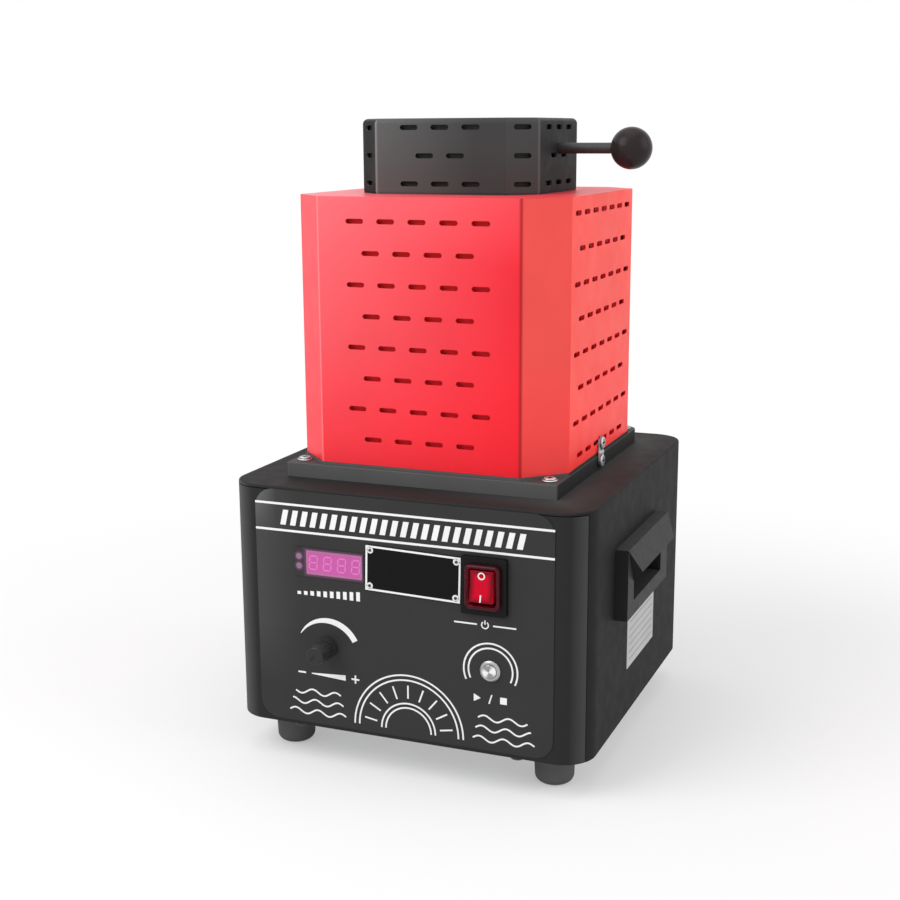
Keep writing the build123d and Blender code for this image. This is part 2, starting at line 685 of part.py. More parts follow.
def base_pan():
    """A shallow pan that stands on the lips and carries the feet and the power board."""
    inset = CASE_SHEET + PAN_GAP
    pan = along_z(case_outline(inset), PAN_Z0, PAN_Z1)
    pan += case_ring(inset, CASE_SHEET, PAN_Z0, PAN_Z0 + PAN_RIM_H)
    cuts = [disc_z(M4_HOLE_R, x, y, PAN_Z0, PAN_Z1) for x, y in foot_places()]
    cuts += [disc_z(M4_R, x, y, PAN_Z0, PAN_Z1) for x, y in lip_places()]
    for x in spread(PAN_SLOTS, PAN_SLOT_PITCH):
        slot = Pos(x, PCB_Y) * Rot(0, 0, 90) * SlotOverall(PAN_SLOT_L, PAN_SLOT_W)
        cuts.append(along_z(slot, PAN_Z0, PAN_Z1))
    return pan - cuts


def seam_strips():
    """Four strips inside the corners, behind the open seams."""
    ring = case_ring(CASE_SHEET, STRIP_T, PAN_Z0 + PAN_RIM_H + PAN_GAP, PANEL_Z1)
    strips = []
    for wall_y, inward in ((FRONT_Y, 1), (REAR_Y, -1)):
        seam = wall_y + inward * SEAM_BACK
        for sign in (-1, 1):
            x0, x1 = sorted((0, sign * SIDE_X))
            strips.append(ring & box(x0, x1, seam - STRIP_LAP, seam + STRIP_LAP, 0, CASE_Z1))
    return group(strips)


def feet():
    """Rubber feet with rounded bottoms and recesses for their screws."""
    body = Pos(0, 0, PAN_Z0 / 2) * Cone(FOOT_R - FOOT_TAPER, FOOT_R, PAN_Z0)
    body = fillet(body.edges().group_by(Axis.Z)[0], FOOT_ROUND)
    body -= disc_z(FOOT_RECESS_R, 0, 0, 0, FOOT_RECESS_D)
    body -= disc_z(M4_R, 0, 0, FOOT_RECESS_D, PAN_Z0)
    return group([Pos(x, y, 0) * body for x, y in foot_places()])


def bottom_screws():
    """Screws up through the feet, and through the bottom lips, into the base pan."""
    long = PAN_Z1 + M4_NUT_H - FOOT_RECESS_D
    through = FACING_DOWN * screw(M4_HEAD_R, M4_HEAD_H, M4_R, long)
    short = FACING_DOWN * screw(M4_HEAD_R, M4_HEAD_H, M4_R, PAN_Z1 - CASE_Z0)
    screws = [Pos(x, y, FOOT_RECESS_D) * through for x, y in foot_places()]
    return group(screws + [Pos(x, y, CASE_Z0) * short for x, y in lip_places()])


def nuts():
    """Nuts of the feet, the deck tray, the knob's control and the start button."""
    m4 = nut(M4_NUT_AF, M4_R, M4_NUT_H)
    under_top = CASE_Z1 - CASE_SHEET - M4_NUT_H
    control = FACING_FRONT * nut(POT_NUT_AF, POT_BUSH_R, POT_NUT_H)
    button = FACING_REAR * nut(BUTTON_NUT_AF, BUTTON_BARREL_R, BUTTON_NUT_H)
    all_nuts = [Pos(x, y, PAN_Z1) * m4 for x, y in foot_places()]
    all_nuts += [Pos(x, y, under_top) * m4 for x, y in tray_screw_places()]
    all_nuts.append(Pos(KNOB_X, LABEL_Y, KNOB_Z) * control)
    all_nuts.append(Pos(BUTTON_X, PANEL_BACK, BUTTON_Z) * button)
    return group(all_nuts)


# ---------------------------------------------------------------- deck
def tray_outline(inset):
    """A rectangle, drawn in by inset, with small round corners in front and large ones behind."""
    face = Rectangle(TRAY_W - 2 * inset, TRAY_D - 2 * inset)
    face = fillet(face.vertices().group_by(Axis.Y)[-1], TRAY_REAR_R - inset)
    face = fillet(face.vertices().group_by(Axis.Y)[0], TRAY_EDGE_R)
    return Pos(0, FURNACE_Y) * face


def plinth_outline(inset):
    return octagon(SHELL_W, SHELL_D, SHELL_LEG, SHELL_BEND_R, inset - PLINTH_OUT)


def deck_tray():
    """An upturned tray on the case's top, with a raised octagon that the tower stands on."""
    tray = along_z(tray_outline(0), CASE_Z1, TRAY_FLAT_Z)
    tray = fillet(tray.edges().group_by(Axis.Z)[-1], TRAY_BEND_R)
    tray += along_z(plinth_outline(0), TRAY_FLAT_Z, TRAY_Z1)
    tray -= along_z(tray_outline(TRAY_SHEET), CASE_Z1, TRAY_FLAT_Z - TRAY_SHEET)
    tray -= along_z(plinth_outline(TRAY_SHEET), CASE_Z1, TRAY_Z1 - TRAY_SHEET)
    tray -= [disc_x(M3_R, y, z, -TRAY_W, TRAY_W) for y, z in strap_screw_places()[:1]]
    return deck_holes(tray, CASE_Z1, TRAY_Z1, BUSHING_R)


def deck_board():
    """Insulating board that fills the tray below the raised octagon."""
    top = TRAY_FLAT_Z - TRAY_SHEET
    board = along_z(tray_outline(TRAY_SHEET + BOARD_GAP), CASE_Z1, top)
    reach = TRAY_W / 2 - STRAP_T - TRAY_SHEET - STRAP_SCREW_END
    y, z = strap_screw_places()[0]
    board -= [disc_x(M3_HOLE_R, y, z, s * reach, s * TRAY_W) for s in (-1, 1)]
    return deck_holes(board, CASE_Z1, top, BUSHING_R)


def tray_screws():
    """The four corner screws, their low heads on round-edged washers."""
    length = WASHER_T + TRAY_FLAT_Z - CASE_Z1 + CASE_SHEET + M4_NUT_H
    one = Pos(0, 0, WASHER_T) * screw(TRAY_HEAD_R, TRAY_HEAD_H, M4_R, length)
    washer = disc_z(WASHER_R, 0, 0, 0, WASHER_T)
    washer = chamfer(washer.edges().group_by(Axis.Z)[-1], WASHER_EDGE)
    washer -= disc_z(M4_R, 0, 0, 0, WASHER_T)
    places = tray_screw_places()
    return group([Pos(x, y, TRAY_FLAT_Z) * s for x, y in places for s in (one, washer)])


def lead_bushings():
    """Ceramic tubes that line the two holes for the coil's leads."""
    z0 = CASE_Z1 - CASE_SHEET
    height = TRAY_Z1 - z0
    one = hollow_disc(BUSHING_R, COIL_TUBE_R, height)
    return group([Pos(x, y, z0) * one for x, y in lead_places()])


def strap_middle():
    return FURNACE_Y - STRAP_FORWARD, TRAY_Z1 + STRAP_RISE


def strap_screw_places():
    """Place along Y and height of the lower and the upper screw of a side strap."""
    y, z = strap_middle()
    tilt = math.radians(STRAP_TILT)
    across = STRAP_PITCH / 2 * math.sin(tilt)
    up = STRAP_PITCH / 2 * math.cos(tilt)
    return [(y - across, z - up), (y + across, z + up)]


def side_straps():
    """A tilted, joggled strap with round ends on each side, from the shell to the tray's edge."""
    low = TRAY_W / 2
    high = SHELL_W / 2
    step = TRAY_Z1 + abs(low - high)
    reach = STRAP_PITCH + STRAP_W
    profile = [
        (low, TRAY_Z1 - reach),
        (low + STRAP_T, TRAY_Z1 - reach),
        (low + STRAP_T, TRAY_Z1),
        (high + STRAP_T, step),
        (high + STRAP_T, TRAY_Z1 + reach),
        (high, TRAY_Z1 + reach),
        (high, step),
        (low, TRAY_Z1),
    ]
    y, z = strap_middle()
    strap = along_y(Polygon(*profile, align=None), y - reach, y + reach)
    outline = Pos(y, z) * Rot(0, 0, 90 - STRAP_TILT) * SlotOverall(reach, STRAP_W)
    strap &= along_x(outline, 0, TRAY_W)
    strap -= [disc_x(M3_R, y, z, 0, TRAY_W) for y, z in strap_screw_places()]
    return group([strap, mirror(strap, about=Plane.YZ)])


def strap_screws():
    """Two on each side: the lower ones bite the tray and the upper ones the shell."""
    screws = []
    walls = ((TRAY_W / 2, TRAY_SHEET), (SHELL_W / 2, SHELL_T))
    for (y, z), (wall_x, wall_t) in zip(strap_screw_places(), walls):
        length = STRAP_T + wall_t + STRAP_SCREW_END
        one = screw(STRAP_HEAD_R, STRAP_HEAD_H, M3_R, length)
        x = wall_x + STRAP_T
        screws.append(Pos(x, y, z) * FACING_RIGHT * one)
        screws.append(Pos(-x, y, z) * FACING_LEFT * one)
    return group(screws)


# ---------------------------------------------------------------- tower
def shell_rows(row_top, row_pitch):
    """How many rows of slots the shell has room for."""
    return int((SHELL_H - row_top - SLOT_MARGIN) // row_pitch) + 1


def slot_rows(top_z, row_pitch, counts, rows, pitch):
    """Centres of slots in rows that take the counts in turn."""
    places = []
    for row in range(rows):
        z = top_z - row * row_pitch
        places += [(across, z) for across in spread(counts[row % len(counts)], pitch)]
    return places


def furnace_shell():
    """The slotted sheet octagon round the tower. Opposite walls have the same slots."""
    outer = octagon(SHELL_W, SHELL_D, SHELL_LEG, SHELL_BEND_R, 0)
    inner = octagon(SHELL_W, SHELL_D, SHELL_LEG, SHELL_BEND_R / 2, SHELL_T)
    shell = along_z(outer - inner, TRAY_Z1, SHELL_Z1)
    slot = SlotOverall(SLOT_W, SLOT_H)
    count = shell_rows(FRONT_ROW_TOP, FRONT_ROW_PITCH)
    top = SHELL_Z1 - FRONT_ROW_TOP
    rows = slot_rows(top, FRONT_ROW_PITCH, FRONT_SLOTS, count, FRONT_SLOT_PITCH)
    y0, y1 = FURNACE_Y - SHELL_D, FURNACE_Y + SHELL_D
    cuts = [along_y(Pos(x, z) * slot, y0, y1) for x, z in rows]
    count = shell_rows(SIDE_ROW_TOP, SIDE_ROW_PITCH)
    top = SHELL_Z1 - SIDE_ROW_TOP
    rows = slot_rows(top, SIDE_ROW_PITCH, SIDE_SLOTS, count, SIDE_SLOT_PITCH)
    cuts += [along_x(Pos(FURNACE_Y + y, z) * slot, -SHELL_W, SHELL_W) for y, z in rows]
    y, z = strap_screw_places()[1]
    cuts.append(disc_x(M3_R, y, z, -SHELL_W, SHELL_W))
    return shell - cuts


def shell_top():
    """The tower's top sheet, let in flush, with the mouth's hole."""
    sheet = octagon(SHELL_W, SHELL_D, SHELL_LEG, SHELL_BEND_R / 2, SHELL_T)
    return along_z(sheet - Pos(0, FURNACE_Y) * Circle(MOUTH_R), COLLAR_Z1, SHELL_Z1)


def inner_jacket():
    """A plain sheet octagon inside the shell, seen through its slots."""
    outer = octagon(SHELL_W, SHELL_D, SHELL_LEG, SHELL_BEND_R, JACKET_IN)
    inner = octagon(SHELL_W, SHELL_D, SHELL_LEG, SHELL_BEND_R / 2, JACKET_IN + JACKET_T)
    return along_z(outer - inner, TRAY_Z1, COLLAR_Z1)


def fibre_blanket():
    ring = Circle(BLANKET_R) - Circle(BLANKET_IN_R)
    return along_z(Pos(0, FURNACE_Y) * ring, TRAY_Z1, CUP_Z1)


def bottom_brick():
    return disc_z(BRICK_R, 0, FURNACE_Y, TRAY_Z1, BRICK_Z1)


def furnace_cup():
    """The refractory cup that the crucible stands in."""
    cup = disc_z(CUP_R, 0, FURNACE_Y, BRICK_Z1, CUP_Z1)
    return cup - disc_z(CUP_R - CUP_WALL, 0, FURNACE_Y, PAD_Z0, CUP_Z1)


def mouth_collar():
    """The refractory ring between the cup and the top sheet."""
    ring = Circle(BLANKET_R) - Circle(COLLAR_BORE_R)
    return along_z(Pos(0, FURNACE_Y) * ring, CUP_Z1, COLLAR_Z1)


def lead_path(x, z):
    """From the coil's end straight off the turn, then down to the terminal on the board."""
    start = (x, FURNACE_Y, z)
    corner = (x, LEAD_Y, z)
    end = (x, LEAD_Y, LUG_Z1 - LUG_SIZE / 2)
    return FilletPolyline(start, corner, end, radius=LEAD_BEND_R)


def coil():
    """One copper tube: its turns round the cup, and both ends led down into the case."""
    height = COIL_TURNS * COIL_PITCH
    helix = Pos(0, FURNACE_Y, COIL_Z0) * Helix(COIL_PITCH, height, COIL_R)
    start = Plane(helix @ 0, z_dir=helix % 0)
    tube = sweep(start * Circle(COIL_TUBE_R), path=helix)
    for x, z in ((COIL_R, COIL_Z0), (-COIL_R, COIL_Z1)):
        path = lead_path(x, z)
        tube += sweep(Plane(path @ 0, z_dir=path % 0) * Circle(COIL_TUBE_R), path=path)
    return tube


def crucible_pad():
    return disc_z(PAD_R, 0, FURNACE_Y, PAD_Z0, CRUCIBLE_Z0)


def crucible():
    """A tapered graphite pot with a rounded inside and a pouring notch."""
    middle = (CRUCIBLE_Z0 + CRUCIBLE_Z1) / 2
    pot = Pos(0, FURNACE_Y, middle) * Cone(CRUCIBLE_FOOT_R, CRUCIBLE_TOP_R, CRUCIBLE_H)
    depth = CRUCIBLE_H - CRUCIBLE_FLOOR
    slope = (CRUCIBLE_TOP_R - CRUCIBLE_FOOT_R) / CRUCIBLE_H
    top_r = CRUCIBLE_TOP_R - CRUCIBLE_WALL
    hollow = Cone(top_r - slope * depth, top_r, depth)
    hollow = fillet(hollow.edges().group_by(Axis.Z)[0], CRUCIBLE_ROUND)
    pot -= Pos(0, FURNACE_Y, CRUCIBLE_Z1 - depth / 2) * hollow
    return pot - disc_x(SPOUT_R, FURNACE_Y, CRUCIBLE_Z1, 0, CRUCIBLE_TOP_R)


# ---------------------------------------------------------------- lid
def lid_shell():
    """The slotted sheet cap with rounded edges."""
    cap = along_z(octagon(LID_W, LID_D, LID_LEG, LID_BEND_R, 0), LID_Z0, LID_Z1)
    cap = fillet(cap.edges().group_by(Axis.Z)[-1], LID_EDGE_R)
    hollow = octagon(LID_W, LID_D, LID_LEG, LID_BEND_R / 2, LID_T)
    hollow = along_z(hollow, LID_Z0, LID_Z1 - LID_T)
    cap -= fillet(hollow.edges().group_by(Axis.Z)[-1], LID_EDGE_R - LID_T)
    slot = SlotOverall(SLOT_W, SLOT_H)
    top = LID_Z1 - LID_ROW_TOP
    pitch = (LID_H - LID_ROW_TOP - LID_ROW_LOW) / (len(LID_SLOTS) - 1)
    rows = slot_rows(top, pitch, LID_SLOTS, len(LID_SLOTS), LID_SLOT_PITCH)
    y0, y1 = FURNACE_Y - LID_D, FURNACE_Y + LID_D
    cuts = [along_y(Pos(x, z) * slot, y0, y1) for x, z in rows]
    cuts += [along_x(Pos(FURNACE_Y + y, z) * slot, -LID_W, LID_W) for y, z in rows]
    for a, b in ((-1, -1), (-1, 1), (1, -1), (1, 1)):
        corner = Pos(a * (LID_W - LID_LEG) / 2, FURNACE_Y + b * (LID_D - LID_LEG) / 2, 0)
        for row in range(len(LID_SLOTS)):
            bar = along_y(Pos(0, top - row * pitch) * slot, -LID_LEG / 2, LID_LEG / 2)
            cuts.append(corner * Rot(0, 0, -45 * a * b) * bar)
    cuts.append(disc_x(ROD_THREAD_R, FURNACE_Y, ROD_Z, 0, LID_W))
    return cap - cuts


def lid_plate():
    """The flat sheet that closes the lid from below, round the plug."""
    sheet = octagon(LID_W, LID_D, LID_LEG, LID_BEND_R, LID_FIT)
    return along_z(sheet - Pos(0, FURNACE_Y) * Circle(PLUG_R), SHELL_Z1, LID_Z0)


def lid_block():
    """The refractory block in the lid, with the plug that drops into the mouth."""
    outline = octagon(LID_W, LID_D, LID_LEG, LID_BEND_R, LID_BLOCK_IN)
    block = along_z(outline, LID_Z0, LID_Z0 + LID_BLOCK_H)
    pocket = LID_W / 2 - LID_T - ROD_INSIDE - ROD_POCKET_GAP
    block -= disc_x(ROD_POCKET_R, FURNACE_Y, ROD_Z, pocket, LID_W)
    return block + disc_z(PLUG_R, 0, FURNACE_Y, PLUG_Z0, LID_Z0)


def handle_rod():
    """The rod, with a thinner threaded end through the lid's wall."""
    wall = LID_W / 2
    ball_end = BALL_X - BALL_R + BALL_BORE_D
    rod = disc_x(ROD_R, FURNACE_Y, ROD_Z, wall, ball_end)
    return rod + disc_x(ROD_THREAD_R, FURNACE_Y, ROD_Z, wall - LID_T - ROD_INSIDE, wall)


def handle_ball():
    ball = Pos(BALL_X, FURNACE_Y, ROD_Z) * Sphere(BALL_R)
    ball_end = BALL_X - BALL_R + BALL_BORE_D
    return ball - disc_x(ROD_R, FURNACE_Y, ROD_Z, BALL_X - BALL_R, ball_end)


def handle_nut():
    """The nut on the rod's thread, inside the lid's wall."""
    one = FACING_RIGHT * nut(ROD_NUT_AF, ROD_THREAD_R, ROD_NUT_H)
    return Pos(LID_W / 2 - LID_T - ROD_NUT_H, FURNACE_Y, ROD_Z) * one


# ---------------------------------------------------------------- front label, display and nameplate
def front_label():
    """The printed plastic sheet on the front panel."""
    outline = Pos(0, CASE_Z0 + LABEL_UP + LABEL_H / 2) * RectangleRounded(LABEL_W, LABEL_H, LABEL_R)
    outline -= Pos(WINDOW_X, WINDOW_Z) * Rectangle(WINDOW_W, WINDOW_H)
    outline -= Pos(SWITCH_X, SWITCH_Z) * Rectangle(SWITCH_BODY_W, SWITCH_BODY_H)
    outline -= Pos(KNOB_X, KNOB_Z) * Circle(POT_BUSH_R)
    outline -= Pos(BUTTON_X, BUTTON_Z) * Circle(BUTTON_BARREL_R)
    return along_y(outline, LABEL_Y, FRONT_Y)


def led_places():
    return [(LED_X, WINDOW_Z + LED_RISE + z) for z in spread(2, LED_PITCH)]


def display_window():
    """The tinted surround of the digits and the two lamps."""
    outline = Pos(WINDOW_X, WINDOW_Z) * Rectangle(WINDOW_W, WINDOW_H)
    outline -= Pos(MODULE_X, WINDOW_Z) * Rectangle(MODULE_W, MODULE_H)
    for x, z in led_places():
        outline -= Pos(x, z) * Circle(LED_R)
    return along_y(outline, LABEL_Y - WINDOW_PROUD, PANEL_BACK)


def display_module():
    """The block of four digits, its face flush with the surround."""
    face = Pos(MODULE_X, WINDOW_Z) * Rectangle(MODULE_W, MODULE_H)
    return along_y(face, LABEL_Y, LABEL_Y + MODULE_D)


def indicator_lamps():
    lamps = []
    for x, z in led_places():
        lamp = disc_y(LED_R, x, z, LABEL_Y - WINDOW_PROUD, LABEL_Y - WINDOW_PROUD + LED_LEN)
        lamps.append(lamp)
    return group(lamps)


def control_board():
    """The small board behind the display."""
    face = Pos(WINDOW_X, WINDOW_Z) * Rectangle(CONTROL_W, CONTROL_H)
    y0 = LABEL_Y + MODULE_D
    return along_y(face, y0, y0 + CONTROL_T)


def spacer_places():
    x = CONTROL_W / 2 - SPACER_IN
    z = CONTROL_H / 2 - SPACER_IN
    return [(WINDOW_X + a, WINDOW_Z + b) for a in (-x, x) for b in (-z, z)]


def nameplate():
    """A blank plate with four rivet holes, a little askew."""
    face = Pos(PLATE_X, PLATE_Z) * Rot(0, 0, -PLATE_TILT) * Rectangle(PLATE_W, PLATE_H)
    for x, z in rivet_places():
        face -= Pos(x, z) * Circle(RIVET_SHANK_R)
    return along_y(face, LABEL_Y - PLATE_T, LABEL_Y)


def rivet_places():
    x = PLATE_W / 2 - RIVET_IN
    z = PLATE_H / 2 - RIVET_IN
    cos = math.cos(math.radians(PLATE_TILT))
    sin = math.sin(math.radians(PLATE_TILT))
    corners = [(a, b) for a in (-x, x) for b in (-z, z)]
    return [(PLATE_X + a * cos + b * sin, PLATE_Z + b * cos - a * sin) for a, b in corners]


def nameplate_rivets():
    y = LABEL_Y - PLATE_T
    one = disc_z(RIVET_R, 0, 0, 0, RIVET_HEAD_H) + disc_z(RIVET_SHANK_R, 0, 0, -PLATE_T, 0)
    return group([Pos(x, y, z) * FACING_FRONT * one for x, z in rivet_places()])


# ---------------------------------------------------------------- power switch
def switch_body():
    """Bezel and housing in one, with the well that the rocker tilts in."""
    bezel = Pos(SWITCH_X, SWITCH_Z) * RectangleRounded(BEZEL_W, BEZEL_H, BEZEL_R)
    housing = Pos(SWITCH_X, SWITCH_Z) * Rectangle(SWITCH_BODY_W, SWITCH_BODY_H)
    boot = Pos(SWITCH_X, SWITCH_Z) * RectangleRounded(BOOT_W, BOOT_H, BOOT_R)
    front = LABEL_Y - BEZEL_PROUD
    body = along_y(bezel, front, LABEL_Y) + along_y(housing, LABEL_Y, LABEL_Y + SWITCH_BODY_D)
    body -= along_y(boot, front, FRONT_Y + BOOT_SEAT)
    well = Pos(SWITCH_X, SWITCH_Z) * Rectangle(BOOT_W - 2 * BOOT_WALL, BOOT_H - 2 * BOOT_WALL)
    body -= along_y(well, FRONT_Y, FRONT_Y + SWITCH_WELL_D)
    return body


def tab_places():
    places = [(x, z) for x in spread(2, TERMINAL_PITCH_X) for z in spread(2, TERMINAL_PITCH_Z)]
    return [(SWITCH_X + x, SWITCH_Z + z) for x, z in places]


def pivot_half_width():
    """The boot's inside, where the rocker's two pins bear."""
    return BOOT_W / 2 - BOOT_WALL


def switch_boot():
    """The raised rim of translucent rubber round the rocker, with the pins' two bearings."""
    outer = Pos(SWITCH_X, SWITCH_Z) * RectangleRounded(BOOT_W, BOOT_H, BOOT_R)
    inner = Pos(SWITCH_X, SWITCH_Z) * Rectangle(BOOT_W - 2 * BOOT_WALL, BOOT_H - 2 * BOOT_WALL)
    front = LABEL_Y - BEZEL_PROUD - BOOT_PROUD
    boot = along_y(outer, front, FRONT_Y + BOOT_SEAT)
    boot = fillet(boot.edges().group_by(Axis.Y)[0], BOOT_ROUND)
    boot -= along_y(inner, front, FRONT_Y + BOOT_SEAT)
    pin = pivot_half_width() + BOOT_WALL / 2
    hole = disc_x(PIVOT_R + PIVOT_GAP, PIVOT_Y, SWITCH_Z, SWITCH_X - pin, SWITCH_X + pin)
    return boot - hole


def rocker():
    """The rocker with its two pins, at rest tilted with its upper end pressed in."""
    half = ROCKER_H / 2
    profile = [
        (PIVOT_Y - ROCKER_OUT, -half),
        (PIVOT_Y - ROCKER_OUT + ROCKER_DIP, 0),
        (PIVOT_Y - ROCKER_OUT, half),
        (PIVOT_Y + ROCKER_BACK, half),
        (PIVOT_Y + ROCKER_BACK, -half),
    ]
    x0, x1 = SWITCH_X - ROCKER_W / 2, SWITCH_X + ROCKER_W / 2
    body = along_x(Polygon(*profile, align=None), x0, x1)
    body = fillet(body.edges().group_by(Axis.Y)[0], ROCKER_EDGE_R)
    pin = pivot_half_width() + BOOT_WALL / 2 - PIVOT_GAP
    body += disc_x(PIVOT_R, PIVOT_Y, 0, SWITCH_X - pin, SWITCH_X + pin)
    tilt = Pos(0, PIVOT_Y, SWITCH_Z) * Rot(-ROCKER_TILT, 0, 0) * Pos(0, -PIVOT_Y, 0)
    return tilt * body


# ---------------------------------------------------------------- knob
def adjust_control():
    """The rotary control behind the panel, with its threaded bushing."""
    body = disc_y(POT_R, KNOB_X, KNOB_Z, PANEL_BACK, PANEL_BACK + POT_D)
    body += disc_y(POT_BUSH_R, KNOB_X, KNOB_Z, FRONT_Y - POT_BUSH_OUT, PANEL_BACK)
    bore = SPINDLE_R + SPINDLE_GAP
    return body - disc_y(bore, KNOB_X, KNOB_Z, FRONT_Y - POT_BUSH_OUT, PANEL_BACK)


def spindle():
    y0 = FRONT_Y - KNOB_REACH + KNOB_BORE_END
    return disc_y(SPINDLE_R, KNOB_X, KNOB_Z, y0, PANEL_BACK - SPINDLE_GAP)


def knob():
    """A knob with fine flutes and a pointer groove, at the dial's lower left when turned down."""
    base = LABEL_Y - KNOB_GAP
    tip = FRONT_Y - KNOB_REACH
    length = base - tip
    body = Cone(KNOB_R, KNOB_TIP_R, length)
    body = fillet(body.edges().group_by(Axis.Z)[-1], KNOB_EDGE_R)
    flutes = []
    for i in range(KNOB_FLUTES):
        place = Rot(0, 0, 360 / KNOB_FLUTES * i) * Pos(KNOB_R - KNOB_FLUTE_IN, 0, 0)
        flutes.append(place * Cylinder(KNOB_FLUTE_R, KNOB_FLUTE_L))
    body -= flutes
    groove = Box(KNOB_TIP_R * 2, KNOB_NOTCH_W, KNOB_NOTCH_D * 2)
    body -= Pos(KNOB_TIP_R, 0, length / 2) * groove
    body = Rot(0, 0, KNOB_REST) * body
    body = Pos(KNOB_X, (base + tip) / 2, KNOB_Z) * FACING_FRONT * body
    body -= disc_y(KNOB_CAVITY_R, KNOB_X, KNOB_Z, base, base - KNOB_CAVITY_D)
    return body - disc_y(SPINDLE_R, KNOB_X, KNOB_Z, base, tip + KNOB_BORE_END)


# ---------------------------------------------------------------- start button
def button_barrel():
    """The metal ring and threaded barrel."""
    ring = disc_y(BUTTON_RING_R, BUTTON_X, BUTTON_Z, LABEL_Y - BUTTON_PROUD, LABEL_Y)
    ring = chamfer(ring.edges().group_by(Axis.Y)[0], BUTTON_CHAMFER)
    barrel = disc_y(BUTTON_BARREL_R, BUTTON_X, BUTTON_Z, LABEL_Y, LABEL_Y + BUTTON_BARREL_L)
    well_r = BUTTON_CAP_R + BUTTON_CAP_GAP
    well = disc_y(well_r, BUTTON_X, BUTTON_Z, LABEL_Y - BUTTON_PROUD, LABEL_Y + BUTTON_WELL)
    return ring + barrel - well


def button_cap():
    """The part that is pressed, with a turned rim round a slightly dished face."""
    front = LABEL_Y - BUTTON_PROUD - BUTTON_CAP_PROUD
    cap = disc_y(BUTTON_CAP_R, BUTTON_X, BUTTON_Z, front, front + BUTTON_CAP_L)
    return fillet(cap.edges().group_by(Axis.Y)[0], BUTTON_CAP_EDGE_R)


def button_spring():
    """The return spring's envelope, between the cap and the barrel's end wall."""
    y0 = LABEL_Y - BUTTON_PROUD - BUTTON_CAP_PROUD + BUTTON_CAP_L
    ring = Circle(SPRING_R) - Circle(SPRING_R - SPRING_WALL)
    return along_y(Pos(BUTTON_X, BUTTON_Z) * ring, y0, LABEL_Y + BUTTON_WELL)


# ---------------------------------------------------------------- side grips
def side_grip():
    """A plastic grip: a frame on the side wall, a hood that the fingers hook under, a pocket behind."""
    y0, y1 = GRIP_Y - GRIP_L / 2, GRIP_Y + GRIP_L / 2
    face = SIDE_X + GRIP_PROUD
    lip = face + HOOD_OUT
    frame = box(SIDE_X, face, y0, y1, GRIP_Z0, GRIP_Z1)
    foot_z = GRIP_Z1 - HOOD_FOOT
    corners = [
        (face, y0, GRIP_Z1),
        (face, y1, GRIP_Z1),
        (face, y1 - HOOD_FOOT_REAR, foot_z),
        (face, y0 + HOOD_FOOT_FRONT, foot_z),
        (lip, y0 + HOOD_FRONT, GRIP_Z1 - HOOD_DROP),
        (lip, y1 - HOOD_REAR, GRIP_Z1 - HOOD_DROP),
    ]
    faces = [(0, 1, 2, 3), (0, 1, 5, 4), (0, 4, 3), (1, 2, 5), (4, 5, 2, 3)]
    walls = [Face(Wire.make_polygon([corners[i] for i in side])) for side in faces]
    hood = Solid(Shell(walls))
    grip = frame + hood
    window_y0, window_y1 = y0 + GRIP_WINDOW_FRONT, y1 - GRIP_WINDOW_REAR
    inner = SIDE_X - GRIP_DEPTH
    ceiling = GRIP_Z1 - GRIP_CEILING
    pocket_z0 = GRIP_Z0 + GRIP_WINDOW_LOW
    grip += box(
        inner,
        SIDE_X,
        window_y0 - GRIP_WALL,
        window_y1 + GRIP_WALL,
        pocket_z0 - GRIP_WALL,
        ceiling + GRIP_WALL,
    )
    slope = math.hypot(HOOD_OUT, HOOD_DROP)
    under_lip = (lip - HOOD_T * HOOD_DROP / slope, GRIP_Z1 - HOOD_DROP - HOOD_T * HOOD_OUT / slope)
    along = (ceiling - under_lip[1]) / HOOD_DROP
    hollow = [
        (inner + GRIP_WALL, pocket_z0),
        (lip, pocket_z0),
        (lip, under_lip[1]),
        under_lip,
        (under_lip[0] - along * HOOD_OUT, ceiling),
        (inner + GRIP_WALL, ceiling),
    ]
    grip -= along_y(Polygon(*hollow, align=None), window_y0, window_y1)
    return grip


def grip_right():
    return side_grip()


def grip_left():
    return mirror(side_grip(), about=Plane.YZ)


# ---------------------------------------------------------------- fan
def fan_frame():
    """The square frame, with struts to the plate that carries the motor's bearing."""
    outline = RectangleRounded(FAN_SIZE, FAN_SIZE, FAN_CORNER_R) - Circle(FAN_BORE_R)
    frame = along_y(Pos(FAN_X, FAN_Z) * outline, REAR_IN - FAN_D, REAR_IN)
    y0 = REAR_IN - FAN_D
    frame += disc_y(FAN_HUB_R, FAN_X, FAN_Z, y0, y0 + FAN_PLATE_T)
    for i in range(FAN_STRUTS):
        strut = Pos(FAN_BORE_R / 2, 0) * Rectangle(FAN_BORE_R + FAN_CORNER_R, FAN_STRUT_W)
        strut = Pos(FAN_X, FAN_Z) * Rot(0, 0, 360 / FAN_STRUTS * i) * strut
        frame += along_y(strut, y0, y0 + FAN_PLATE_T)
    frame += disc_y(FAN_BOSS_R, FAN_X, FAN_Z, y0, y0 + FAN_PLATE_T + FAN_BOSS_L)
    bore = FAN_SHAFT_R + FAN_SHAFT_GAP
    frame -= disc_y(bore, FAN_X, FAN_Z, y0, y0 + FAN_PLATE_T + FAN_BOSS_L)
    return frame - [disc_y(M4_HOLE_R, x, z, y0, REAR_IN) for x, z in fan_screw_places()]


